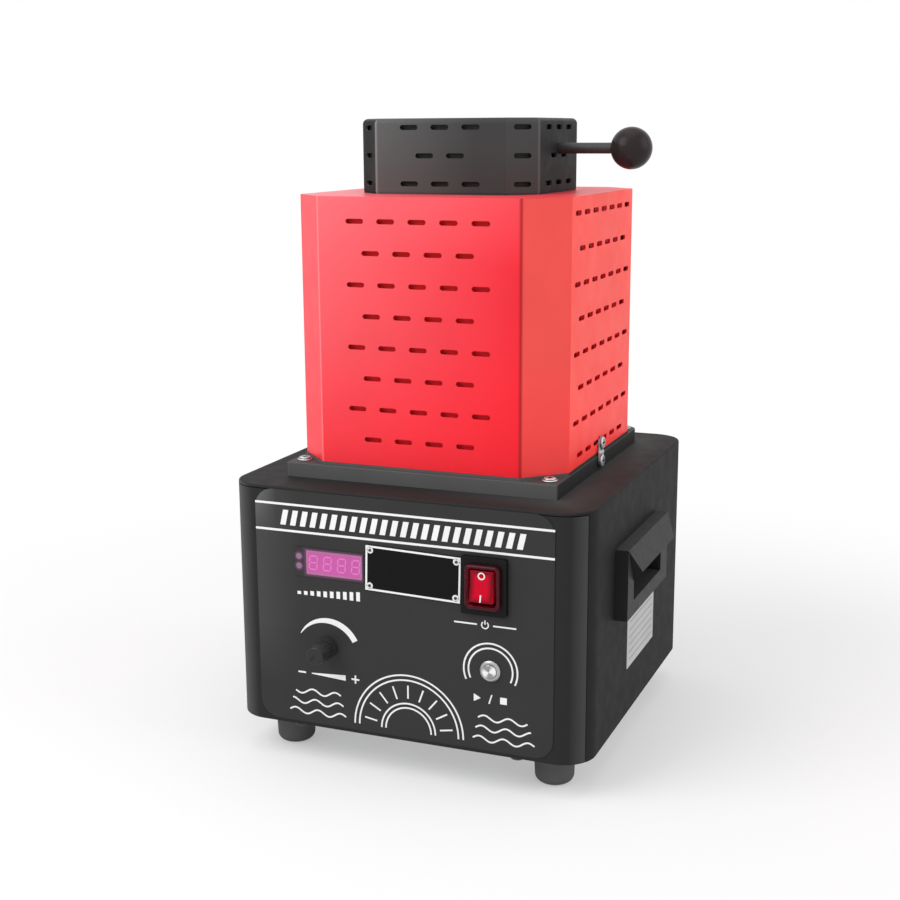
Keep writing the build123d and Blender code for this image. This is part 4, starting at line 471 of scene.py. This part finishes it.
def furnace_lining(name):
    """Pale refractory below, and painted shade above, a dark colour where it would show through the lid's slots."""
    pale = (0.74, 0.69, 0.6)
    # painted shade for what shows through the lid's slots
    dark = (0.032, 0.034, 0.033)
    m = Nodes(name, pale, 0.92)
    low = node_box("lid_plate")[1].z * MM
    slot_shade_mask = m.spread(m.axis(2), 0, 1, low - 0.0002, low + 0.0002)
    blotch = m.spread(m.noise(7.0, 5.0), 0, 1)
    m.color(m.mix(slot_shade_mask, m.mix(blotch, shade(pale, 0.88), pale), m.mix(blotch, dark, shade(dark, 1.3))))
    m.roughness(m.noise(2.4, 3.0), 0.84, 0.96)
    m.bumps(m.noise(1.2, 6.0, rough=0.7), 0.25)
    m.set(Specular_IOR_Level=0.2)
    return m.material


# ---------------------------------------------------------------- materials
CASE_GREY = hex_color("2b2b2b")
LABEL_GREY = hex_color("323232")
LID_GREY = hex_color("3d3f3f")
# painted highlight and painted shade of the lid
LID_HIGHLIGHT = hex_color("5d5f5f")
LID_LEFT_SHADE = hex_color("1c1d1d")
LID_RIGHT_SHADE = hex_color("242525")
LID_FOLD_HIGHLIGHT = hex_color("8c8c8c")
LID_CUT = 14.4  # millimetres, the cut corners of the lid and of the tower
SHELL_CUT = 20.6
# colour of the painted shade in metal recesses
RECESS_SHADE = (0.02, 0.018, 0.016)
RED = (0.84, 0.006, 0.022)
# painted sheen, painted light and painted shade of the red enamel
SHEEN_RED = (0.9, 0.165, 0.19)
LEFT_LIT_RED = (0.88, 0.06, 0.08)
CORNER_LIT_RED = (0.9, 0.08, 0.07)
RIGHT_LIT_RED = (1.0, 0.04, 0.024)
FOLD_SHADE_RED = (0.35, 0.002, 0.008)
FOLD_HIGHLIGHT_RED = (1.0, 0.36, 0.38)
ROCKER_HALF = (6.4, 8.4)
# turn of the painted reflection's wedges on the button
REFLECTION_TURN = 0.9

# The left, right and front factors below paint light and shade on the faces that turn that way.
MATERIALS = {
    "case_paint": painted("case_paint", CASE_GREY, 0.62, 0.45, 0.006, 0.08, 0.025, left=3.2, right=0.7, paint=case_grey),
    "tray_paint": painted("tray_paint", hex_color("454545"), 0.55, 0.5, 0.006, 0.15, front=1.72, right=0.25),
    "red_paint": enamel("red_paint"),
    "jacket_paint": painted("jacket_paint", (0.95, 0.02, 0.03), 0.6, 0.8, 0.01, 0.2),
    "lid_paint": lid_enamel("lid_paint"),
    "zinc": metal("zinc", (0.66, 0.68, 0.7), 0.5, stain=0.25, recess_shade_mm=2.0),
    "pan_zinc": metal("pan_zinc", (0.55, 0.56, 0.58), 0.42, (1, 0.2, 1), 0.02, stain=0.25),
    "black_steel": plastic("black_steel", hex_color("363636"), 0.42, 0.5, 0.006, shine=0.35),
    "black_ball": plastic("black_ball", (0.027, 0.02, 0.021), 0.24, 1.4, 0.004, shine=0.12),
    "foot_rubber": plastic("foot_rubber", hex_color("565656"), 0.72, 0.6, 0.05, shine=0.2),
    "refractory": mineral("refractory", (0.74, 0.69, 0.6), 0.92, 1.2, 0.25),
    "fibre": mineral("fibre", (0.85, 0.83, 0.78), 0.98, 0.8, 0.5),
    "graphite": mineral("graphite", (0.05, 0.05, 0.055), 0.55, 0.7, 0.08),
    "copper": metal("copper", (0.8, 0.36, 0.2), 0.3, stain=0.35),
    "brass": metal("brass", (0.8, 0.6, 0.28), 0.3, stain=0.25),
    "label_film": plastic("label_film", LABEL_GREY, 0.5, 0.35, 0.006, 0.03, 0.15, 0.1, paint=label_grey),
    "window_tint": plastic("window_tint", LABEL_GREY, 0.45, 2.0, 0.002, 0.03, 0.15, 0.1, paint=display_glow),
    "digits": plastic("digits", hex_color("b8559a"), 0.5, 0.4, 0.004, 0.04, 0.2, 0.1, paint=display_face),
    "lamp": plastic("lamp", hex_color("8c6a86"), 0.4, 0.8, 0.004, shine=0.3),
    "nameplate_black": plastic("nameplate_black", (0.0065, 0.0067, 0.0067), 0.34, 2.5, 0.004, shine=0.07),
    "switch_black": plastic("switch_black", (0.007, 0.0055, 0.006), 0.34, 0.6, 0.006, shine=0.12),
    "rocker_red": plastic("rocker_red", hex_color("c8042a"), 0.3, 2.0, 0.002, 0.03, 0.1, paint=rocker_face),
    "boot_maroon": plastic("boot_maroon", (0.05, 0.003, 0.007), 0.3, 3.0, 0.004, shine=0.22, edge=0.4),
    "knob_black": plastic("knob_black", (0.03, 0.03, 0.03), 0.38, 0.5, 0.01, shine=0.4, front=0.35),
    "bright_steel": metal("bright_steel", (0.46, 0.46, 0.47), 0.4, depth=0.006),
    "grip_plastic": plastic("grip_plastic", hex_color("3c3c3c"), 0.6, 0.6, 0.03, shine=0.2, edge=0.4, front=0.3, right=0.75, left=0.75),
    "fan_plastic": plastic("fan_plastic", (0.015, 0.015, 0.016), 0.5, 0.7, 0.015),
    "board_green": plastic("board_green", (0.02, 0.13, 0.06), 0.4, 1.5, 0.01),
    "sink_aluminium": metal("sink_aluminium", (0.72, 0.73, 0.75), 0.35, (1, 0.15, 1)),
    "capacitor_blue": plastic("capacitor_blue", (0.03, 0.06, 0.28), 0.4),
    "wire_sleeve": plastic("wire_sleeve", (0.4, 0.015, 0.015), 0.4),
}
WHITE_INK = plastic("white_ink", (0.86, 0.86, 0.86), 0.5, 0.3, 0.003, 0.02, 0.2)
PALE_LABEL = plastic("pale_label", hex_color("bebebe"), 0.5, 0.5, 0.004, 0.04, 0.2)
GREY_INK = plastic("grey_ink", hex_color("8a8a8a"), 0.6, 0.4, 0.002, 0.04)
DIGIT_GLOW = plastic("digit_glow", hex_color("e27cc4"), 0.4, 0.4, 0.002, 0.03, 0.2)

for part in frame["record"]["subparts"]:
    mesh = NODES[part["node"]].data
    mesh.materials.clear()
    mesh.materials.append(MATERIALS[part["material_slot"]])
NODES["lid_block"].data.materials[0] = furnace_lining("furnace_lining")
# painted light on the panel's left faces and a painted highlight round its right corner
NODES["front_panel"].data.materials[0] = painted(
    "panel_paint", CASE_GREY, 0.62, 0.45, 0.006, 0.08, 0.025, left=3.2, paint=panel_grey)
NODES["switch_body"].data.materials[0] = plastic(
    "switch_housing", (0.007, 0.0055, 0.006), 0.34, 0.6, 0.006, shine=0.12, paint=switch_well)
button_low, button_high = node_box("button_cap")
NODES["button_cap"].data.materials[0] = turned_face(
    "button_face", (button_low.x + button_high.x) / 2, (button_low.z + button_high.z) / 2,
    (0.88, 0.88, 0.89), (0.3, 0.3, 0.31), 0.3)
BOOT_INNER = plastic("boot_inner", (0.11, 0.003, 0.011), 0.3, 3.0, 0.004, shine=0.15, edge=0.5)


# ---------------------------------------------------------------- mesh helpers
def finish_piece(name, mesh, material, body):
    """Turns a bmesh in millimetres into a piece that rides on a body."""
    bmesh.ops.recalc_face_normals(mesh, faces=mesh.faces)
    bmesh.ops.scale(mesh, vec=(MM, MM, MM), verts=mesh.verts)
    data = bpy.data.meshes.new(name)
    mesh.to_mesh(data)
    mesh.free()
    data.materials.append(material)
    piece = bpy.data.objects.new(name, data)
    bpy.context.scene.collection.objects.link(piece)
    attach(piece, body)
    return piece


class Drawing:
    """Thin raised shapes on a flat face, drawn in millimetres across and up from its origin."""

    def __init__(self, origin, across=(1, 0, 0), up=(0, 0, 1), height=INK_T):
        self.mesh = bmesh.new()
        self.origin = Vector(origin)
        self.across = Vector(across)
        self.up = Vector(up)
        self.out = self.across.cross(self.up)
        self.height = height

    def corners(self, points, level):
        flat = [self.origin + self.across * u + self.up * v for u, v in points]
        return [self.mesh.verts.new(point + self.out * level) for point in flat]

    def shape(self, points):
        """A filled outline."""
        low = self.corners(points, 0)
        high = self.corners(points, self.height)
        self.mesh.faces.new(high)
        self.mesh.faces.new(low[::-1])
        for i in range(len(points)):
            j = (i + 1) % len(points)
            self.mesh.faces.new((low[i], low[j], high[j], high[i]))

    def bar(self, u0, u1, v0, v1, slant=0.0):
        self.shape([(u0, v0), (u1, v0), (u1 + slant, v1), (u0 + slant, v1)])

    def stroke(self, points, width, closed=False):
        """A line of one width, or of a width for each point, with mitred corners."""
        count = len(points)
        widths = width if isinstance(width, list) else [width] * count
        left = []
        right = []
        for i, point in enumerate(points):
            here = Vector(point)
            sides = []
            if closed or i > 0:
                sides.append((here - Vector(points[i - 1])).normalized())
            if closed or i < count - 1:
                sides.append((Vector(points[(i + 1) % count]) - here).normalized())
            normals = [Vector((-side.y, side.x)) for side in sides]
            middle = sum(normals, Vector((0, 0))).normalized()
            reach = middle * (widths[i] / 2 / middle.dot(normals[0]))
            left.append(here + reach)
            right.append(here - reach)
        low = self.corners(left, 0), self.corners(right, 0)
        high = self.corners(left, self.height), self.corners(right, self.height)
        for i in range(count if closed else count - 1):
            j = (i + 1) % count
            self.mesh.faces.new((high[0][i], high[1][i], high[1][j], high[0][j]))
            self.mesh.faces.new((low[0][j], low[1][j], low[1][i], low[0][i]))
            self.mesh.faces.new((low[0][i], high[0][i], high[0][j], low[0][j]))
            self.mesh.faces.new((low[1][j], high[1][j], high[1][i], low[1][i]))
        if not closed:
            for i in (0, count - 1):
                self.mesh.faces.new((low[0][i], low[1][i], high[1][i], high[0][i]))

    def finish(self, name, material, body):
        return finish_piece(name, self.mesh, material, body)


def arc(u, v, across, up, start, end, steps=32):
    """Points round an ellipse, from one angle to another in degrees, anticlockwise from the right."""
    points = []
    for i in range(steps + 1):
        a = math.radians(start + (end - start) * i / steps)
        points.append((u + across * math.cos(a), v + up * math.sin(a)))
    return points


def loop(u, v, across, up, steps=48):
    return arc(u, v, across, up, 0, 360, steps)[:-1]


# ---------------------------------------------------------------- printed front label
LINE_W = 0.95
TITLE_LINE_W = 1.3
TITLE_LINES = (8.0, 23.0)  # below the label's top
TITLE_BAR_W = 3.3
TITLE_BAR_PITCH = 6.0
TITLE_BAR_H = 8.6
TITLE_BAR_SLANT = 2.0
TITLE_BARS = 24
METER_LEFT, METER_RIGHT, METER_Z = -61.0, -25.0, 98.5
METER_TICKS = 10
METER_TALLEST = 5.2
ARC_START = (-60.7, 75.9)
ARC_END = (-27.4, 74.9)
ARC_RISE = 9.6  # arc's middle above its ends
ARC_WIDTHS = (0.5, 3.5)
ARC_FULL = 0.8  # share of its length where it is widest
MARK_Z = 52.9  # middle of the marks under the knob and under the button
SUN_X, SUN_Z = 4.0, 27.3
SUN_RINGS = (13.5, 16.0, 29.5, 32.3)
SUN_RAYS = (19.0, 26.5)
SUN_RAY_COUNT = 9
WAVE_LENGTH = 14.0
WAVE_RISE = 1.5
WAVE_PITCH = 6.0
HALO_RINGS = (12.5, 15.2)
HALO_FROM, HALO_TO = -25, 205


def chord_arc(start, end, rise, steps=28):
    """Points of the round arc through two ends that stands this high in its middle."""
    a, b = Vector(start), Vector(end)
    half = (b - a).length / 2
    radius = (half * half + rise * rise) / (2 * rise)
    tilt = math.degrees(math.atan2(b.y - a.y, b.x - a.x))
    spread = math.degrees(math.asin(half / radius))
    down = Vector((math.sin(math.radians(tilt)), -math.cos(math.radians(tilt))))
    centre = (a + b) / 2 + down * (radius - rise)
    return arc(centre.x, centre.y, radius, radius, tilt + 90 + spread, tilt + 90 - spread, steps)


def print_title(label, low, high):
    lines = Drawing(label)
    bars = Drawing(label)
    for down in TITLE_LINES:
        middle = high.z - down
        lines.bar(low.x, high.x, middle - TITLE_LINE_W / 2, middle + TITLE_LINE_W / 2)
    lines.finish("title_lines", WHITE_INK, "furnace")
    middle = high.z - sum(TITLE_LINES) / 2
    for i in range(TITLE_BARS):
        u = (i - (TITLE_BARS - 1) / 2) * TITLE_BAR_PITCH - (TITLE_BAR_W + TITLE_BAR_SLANT) / 2
        bars.bar(u, u + TITLE_BAR_W, middle - TITLE_BAR_H / 2, middle + TITLE_BAR_H / 2, TITLE_BAR_SLANT)
    bars.finish("title_bars", WHITE_INK, "furnace")


def print_meter(label):
    """A row of ticks that grow to the right, under the display."""
    ticks = Drawing(label)
    pitch = (METER_RIGHT - METER_LEFT) / (METER_TICKS - 1)
    for i in range(METER_TICKS):
        u = METER_LEFT + i * pitch
        tall = METER_TALLEST * (0.35 + 0.65 * i / (METER_TICKS - 1))
        ticks.bar(u - pitch * 0.28, u + pitch * 0.28, METER_Z, METER_Z + tall)
    ticks.finish("meter_ticks", WHITE_INK, "furnace")


def print_dial(label, knob_x):
    points = chord_arc(ARC_START, ARC_END, ARC_RISE)
    thin, thick = ARC_WIDTHS
    widths = []
    for i in range(len(points)):
        along = min(1, i / (len(points) - 1) / ARC_FULL)
        widths.append(thin + (thick - thin) * math.sin(along * math.pi / 2))
    dial = Drawing(label)
    dial.stroke(points, widths)
    dial.finish("dial_arc", WHITE_INK, "furnace")
    marks = Drawing(label)
    for side in (-1, 1):
        u = knob_x + side * 16.5
        marks.bar(u - 2.4, u + 2.4, MARK_Z - 0.5, MARK_Z + 0.5)
    marks.bar(knob_x + 16.5 - 0.5, knob_x + 16.5 + 0.5, MARK_Z + 0.5, MARK_Z + 2.4)
    marks.bar(knob_x + 16.5 - 0.5, knob_x + 16.5 + 0.5, MARK_Z - 2.4, MARK_Z - 0.5)
    marks.shape([(knob_x - 10.5, MARK_Z - 0.3), (knob_x + 10.5, MARK_Z - 1.6), (knob_x + 10.5, MARK_Z + 1.6),
                 (knob_x - 10.5, MARK_Z + 0.3)])
    marks.finish("dial_marks", WHITE_INK, "furnace")


def print_switch_mark(label, x, z):
    """The usual broken ring with a stroke, between two short rules."""
    marks = Drawing(label)
    marks.stroke(arc(x, z, 1.9, 1.9, 125, 415, 24), 0.7)
    marks.bar(x - 0.35, x + 0.35, z + 0.3, z + 2.7)
    for side in (-1, 1):
        marks.bar(x + side * 11 - 6.5, x + side * 11 + 6.5, z - 0.45, z + 0.45)
    marks.finish("switch_mark", WHITE_INK, "furnace")


def print_button_marks(label, x):
    """A triangle for start and a square for stop, parted by a slanted line."""
    marks = Drawing(label)
    marks.shape([(x - 9.5, MARK_Z - 2.2), (x - 5.5, MARK_Z), (x - 9.5, MARK_Z + 2.2)])
    marks.bar(x - 1.2, x - 0.4, MARK_Z - 2.6, MARK_Z + 2.6, 1.6)
    marks.bar(x + 5.5, x + 9.3, MARK_Z - 1.9, MARK_Z + 1.9)
    marks.finish("button_marks", WHITE_INK, "furnace")


def print_motif(label, button_x, button_z):
    """A plain rising sun with waves at both sides, and two open rings round the start button."""
    art = Drawing(label)
    for radius in SUN_RINGS:
        art.stroke(arc(SUN_X, SUN_Z, radius, radius, 0, 180, 48), LINE_W)
    for i in range(SUN_RAY_COUNT):
        a = math.pi * (i + 0.5) / SUN_RAY_COUNT
        near, far = ((SUN_X + r * math.cos(a), SUN_Z + r * math.sin(a)) for r in SUN_RAYS)
        art.stroke([near, far], LINE_W)
    for side in (-1, 1):
        for row in range(3):
            u0 = SUN_X + side * (SUN_RINGS[-1] + 5.5 + row * 1.5)
            count = 32
            wave = []
            for i in range(count + 1):
                along = i / count * (2.5 - row * 0.25) * WAVE_LENGTH
                lift = WAVE_RISE * math.sin(2 * math.pi * along / WAVE_LENGTH)
                wave.append((u0 + side * along, SUN_Z + 2.5 + row * WAVE_PITCH + lift))
            art.stroke(wave, LINE_W)
    for radius in HALO_RINGS:
        art.stroke(arc(button_x, button_z, radius, radius, HALO_FROM, HALO_TO, 48), LINE_W)
    art.finish("label_motif", WHITE_INK, "furnace")


def print_label():
    low, high = node_box("front_label")
    label = Vector((0, low.y, 0))
    knob_low, knob_high = node_box("knob")
    button_low, button_high = node_box("button_barrel")
    bezel_low, bezel_high = node_box("switch_body")
    button = (button_low + button_high) / 2
    bezel = (bezel_low + bezel_high) / 2
    print_title(label, low, high)
    print_meter(label)
    print_dial(label, (knob_low.x + knob_high.x) / 2)
    print_switch_mark(label, bezel.x, bezel_low.z - 6.0)
    print_button_marks(label, button.x)
    print_motif(label, button.x, button.z)


# ---------------------------------------------------------------- display, nameplate and side label
DIGITS = 4
DIGIT_W = 4.6
DIGIT_H = 7.6
DIGIT_SLANT = 0.7
SEGMENT_W = 0.85
SEGMENT_GAP = 0.18
PLATE_W, PLATE_H = 55.2, 25.2
PLATE_TILT = 1.5  # degrees clockwise
PLATE_BORDER_W = 1.1
RIVET_IN = 2.6
RIVET_RING_R = 1.33
RIVET_RING_W = 1.04
SIDE_LABEL = (-21.2, 38.0, 48.8, 84.3)  # along Y, then up
SIDE_LABEL_T = 0.3
SIDE_RULES = 7


def segment(drawing, middle, along, half, slant):
    """One bar of a digit with pointed ends, level or upright."""
    u, v = middle
    w = SEGMENT_W / 2
    if along == "level":
        points = [(-half, 0), (-half + w, -w), (half - w, -w), (half, 0), (half - w, w), (-half + w, w)]
    else:
        points = [(0, -half), (w, -half + w), (w, half - w), (0, half), (-w, half - w), (-w, -half + w)]
    drawing.shape([(u + a + slant * (v + b) / DIGIT_H, v + b) for a, b in points])


def make_digits():
    """Four figures of seven dimly lit bars, as a display shows when all are on."""
    low, high = node_box("display_module")
    pitch = (high.x - low.x) / DIGITS
    middle_z = (low.z + high.z) / 2
    half_w, half_h = DIGIT_W / 2, DIGIT_H / 2
    across = half_w - SEGMENT_GAP
    tall = half_h / 2 - SEGMENT_GAP
    for i in range(DIGITS):
        digit = Drawing(Vector((low.x + (i + 0.5) * pitch + 0.4, low.y, middle_z)))
        for v in (-half_h, 0, half_h):
            segment(digit, (0, v), "level", across, DIGIT_SLANT)
        for u in (-half_w, half_w):
            for v in (-half_h / 2, half_h / 2):
                segment(digit, (u, v), "upright", tall, DIGIT_SLANT)
        digit.finish(f"digit_{i + 1}", DIGIT_GLOW, "furnace")


def make_plate_border():
    low, high = node_box("nameplate")
    tilt = Matrix.Rotation(math.radians(PLATE_TILT), 3, "Y")
    middle = (low + high) / 2
    middle.y = low.y
    border = Drawing(middle, tilt @ Vector((1, 0, 0)), tilt @ Vector((0, 0, 1)))
    u, v = (PLATE_W - PLATE_BORDER_W) / 2, (PLATE_H - PLATE_BORDER_W) / 2
    border.stroke([(-u, -v), (u, -v), (u, v), (-u, v)], PLATE_BORDER_W, closed=True)
    u, v = PLATE_W / 2 - RIVET_IN, PLATE_H / 2 - RIVET_IN
    for a, b in ((-u, -v), (u, -v), (u, v), (-u, v)):
        border.stroke(loop(a, b, RIVET_RING_R, RIVET_RING_R, 24), RIVET_RING_W, closed=True)
    border.finish("nameplate_border", WHITE_INK, "furnace")


def make_side_label():
    wall = node_box("case_cover")[1].x
    y0, y1, z0, z1 = SIDE_LABEL
    sheet = Drawing((wall, 0, 0), (0, 1, 0), (0, 0, 1), SIDE_LABEL_T)
    sheet.bar(y0, y1, z0, z1)
    sheet.finish("side_label", PALE_LABEL, "furnace")
    rules = Drawing((wall + SIDE_LABEL_T, 0, 0), (0, 1, 0), (0, 0, 1), INK_T)
    pitch = (z1 - z0) / (SIDE_RULES + 1)
    for i in range(SIDE_RULES):
        z = z0 + (i + 1) * pitch
        rules.bar(y0 + 4, y1 - 4, z - 0.25, z + 0.25)
    rules.finish("side_label_rules", GREY_INK, "furnace")


# ---------------------------------------------------------------- power switch
ROCKER_TILT = 8.0  # degrees, upper end pressed in
ROCKER_OUT = 5.5  # the face's middle in front of the pivot
ROCKER_SLOPE = math.degrees(math.atan2(1.0, 8.4))  # each half of the face leans out by this
OFF_MARK_UP = 5.9
ON_MARK_DOWN = 6.1
SKIRT_RINGS = ((8.68, 11.0, 0.15), (8.0, 10.4, 0.5), (7.3, 9.8, 1.5), (6.85, 9.4, 3.3))
SKIRT_T = 0.4
SKIRT_ROUND = 1.2


def mark_rocker():
    """O on the upper half of the rocker and I on the lower one."""
    pivot = Vector(JOINTS["switch_rock"]["pos_m"]) / MM
    tilt = Matrix.Rotation(math.radians(-ROCKER_TILT), 3, "X")
    for name, side in (("rocker_off_mark", 1), ("rocker_on_mark", -1)):
        lean = Matrix.Rotation(math.radians(side * ROCKER_SLOPE), 3, "X")
        up = tilt @ lean @ Vector((0, 0, 1))
        start = pivot + tilt @ Vector((0, -ROCKER_OUT, 0))
        face = Drawing(start, (1, 0, 0), up)
        if side > 0:
            face.stroke(loop(0, OFF_MARK_UP, 1.7, 1.7, 28), 0.7, closed=True)
        else:
            face.bar(-0.4, 0.4, -ON_MARK_DOWN - 1.9, -ON_MARK_DOWN + 1.9)
        face.finish(name, WHITE_INK, "rocker")


def rounded_loop(half_u, half_v, radius, steps=6):
    points = []
    for u, v, start in ((1, 1, 0), (-1, 1, 90), (-1, -1, 180), (1, -1, 270)):
        points += arc(u * (half_u - radius), v * (half_v - radius), radius, radius, start, start + 90, steps)
    return points


def make_boot_skirt():
    """The boot's soft inner wall, which slopes in from the rim to the rocker."""
    low, high = node_box("switch_boot")
    middle = (low + high) / 2
    mesh = bmesh.new()
    order = []
    for thick, rings in ((0, SKIRT_RINGS), (SKIRT_T, SKIRT_RINGS[::-1])):
        for half_u, half_v, back in rings:
            flat = rounded_loop(half_u, half_v, SKIRT_ROUND)
            depth = low.y + back + thick
            order.append([mesh.verts.new((middle.x + u, depth, middle.z + v)) for u, v in flat])
    count = len(order[0])
    for a, b in zip(order, order[1:] + order[:1]):
        for i in range(count):
            j = (i + 1) % count
            mesh.faces.new((a[i], a[j], b[j], b[i]))
    skirt = finish_piece("boot_skirt", mesh, BOOT_INNER, "furnace")
    for polygon in skirt.data.polygons:
        polygon.use_smooth = True


print_label()
make_digits()
make_plate_border()
make_side_label()
mark_rocker()
make_boot_skirt()


# ---------------------------------------------------------------- floor, light and world
FLOOR_SIZE = 60.0
WHITE_FROM, WHITE_TO = 0.26, 0.6  # metres from the middle, where the floor turns plain white
WHITE_NEAR = 0.35  # share of plain white close to the object


def seen(tree):
    """1 for what the camera sees straight, in a mirror or through glass."""
    rays = tree.nodes.new("ShaderNodeLightPath")
    total = rays.outputs["Is Camera Ray"]
    for name in ("Is Glossy Ray", "Is Transmission Ray"):
        plus = tree.nodes.new("ShaderNodeMath")
        plus.operation = "MAXIMUM"
        tree.links.new(total, plus.inputs[0])
        tree.links.new(rays.outputs[name], plus.inputs[1])
        total = plus.outputs[0]
    return total


def make_floor():
    mesh = bpy.data.meshes.new("floor")
    half = FLOOR_SIZE / 2
    mesh.from_pydata([(-half, -half, 0), (half, -half, 0), (half, half, 0), (-half, half, 0)], [], [(0, 1, 2, 3)])
    floor = bpy.data.objects.new("floor", mesh)
    bpy.context.scene.collection.objects.link(floor)
    m = Nodes("floor", (0.9, 0.9, 0.9), 0.9)
    m.color(m.mix(m.noise(200.0), (0.9, 0.9, 0.9), (0.92, 0.92, 0.92)))
    m.set(Specular_IOR_Level=0.1)
    where = m.add("ShaderNodeTexCoord")
    length = m.add("ShaderNodeVectorMath", operation="LENGTH")
    m.link(where.outputs["Object"], length.inputs[0])
    far = m.add("ShaderNodeMapRange", interpolation_type="SMOOTHSTEP")
    far.inputs["From Min"].default_value = WHITE_FROM
    far.inputs["From Max"].default_value = WHITE_TO
    far.inputs["To Min"].default_value = WHITE_NEAR
    m.link(length.outputs["Value"], far.inputs["Value"])
    glow = m.add("ShaderNodeEmission")
    mix = m.add("ShaderNodeMixShader")
    m.link(m.multiply(seen(m.tree), far.outputs["Result"]), mix.inputs[0])
    m.link(m.shader.outputs[0], mix.inputs[1])
    m.link(glow.outputs[0], mix.inputs[2])
    m.link(mix.outputs[0], m.tree.nodes["Material Output"].inputs["Surface"])
    mesh.materials.append(m.material)


def make_world():
    world = bpy.data.worlds.new("world")
    world.use_nodes = True
    tree = world.node_tree
    sky = tree.nodes["Background"]
    sky.inputs["Color"].default_value = (1, 1, 1, 1)
    sky.inputs["Strength"].default_value = SKY
    backdrop = tree.nodes.new("ShaderNodeBackground")
    backdrop.inputs["Color"].default_value = (1, 1, 1, 1)
    backdrop.inputs["Strength"].default_value = 1.0
    mix = tree.nodes.new("ShaderNodeMixShader")
    tree.links.new(seen(tree), mix.inputs[0])
    tree.links.new(sky.outputs[0], mix.inputs[1])
    tree.links.new(backdrop.outputs[0], mix.inputs[2])
    tree.links.new(mix.outputs[0], tree.nodes["World Output"].inputs["Surface"])
    bpy.context.scene.world = world


def area_light(name, azimuth, elevation, distance, size, power):
    data = bpy.data.lights.new(name, "AREA")
    data.shape = "RECTANGLE"
    data.size, data.size_y = size
    data.energy = power
    lamp = bpy.data.objects.new(name, data)
    bpy.context.scene.collection.objects.link(lamp)
    away = direction(azimuth, elevation)
    lamp.location = TARGET + away * distance
    lamp.rotation_mode = "QUATERNION"
    lamp.rotation_quaternion = away.to_track_quat("Z", "Y")


SKY = 0.62
make_floor()
make_world()
area_light("key", -38, 40, 1.3, (0.9, 0.9), 9)
area_light("right", 95, 25, 1.5, (1.0, 1.0), 5)
area_light("top", 0, 85, 1.5, (1.2, 1.2), 4)

bpy.context.scene.view_settings.view_transform = "Standard"
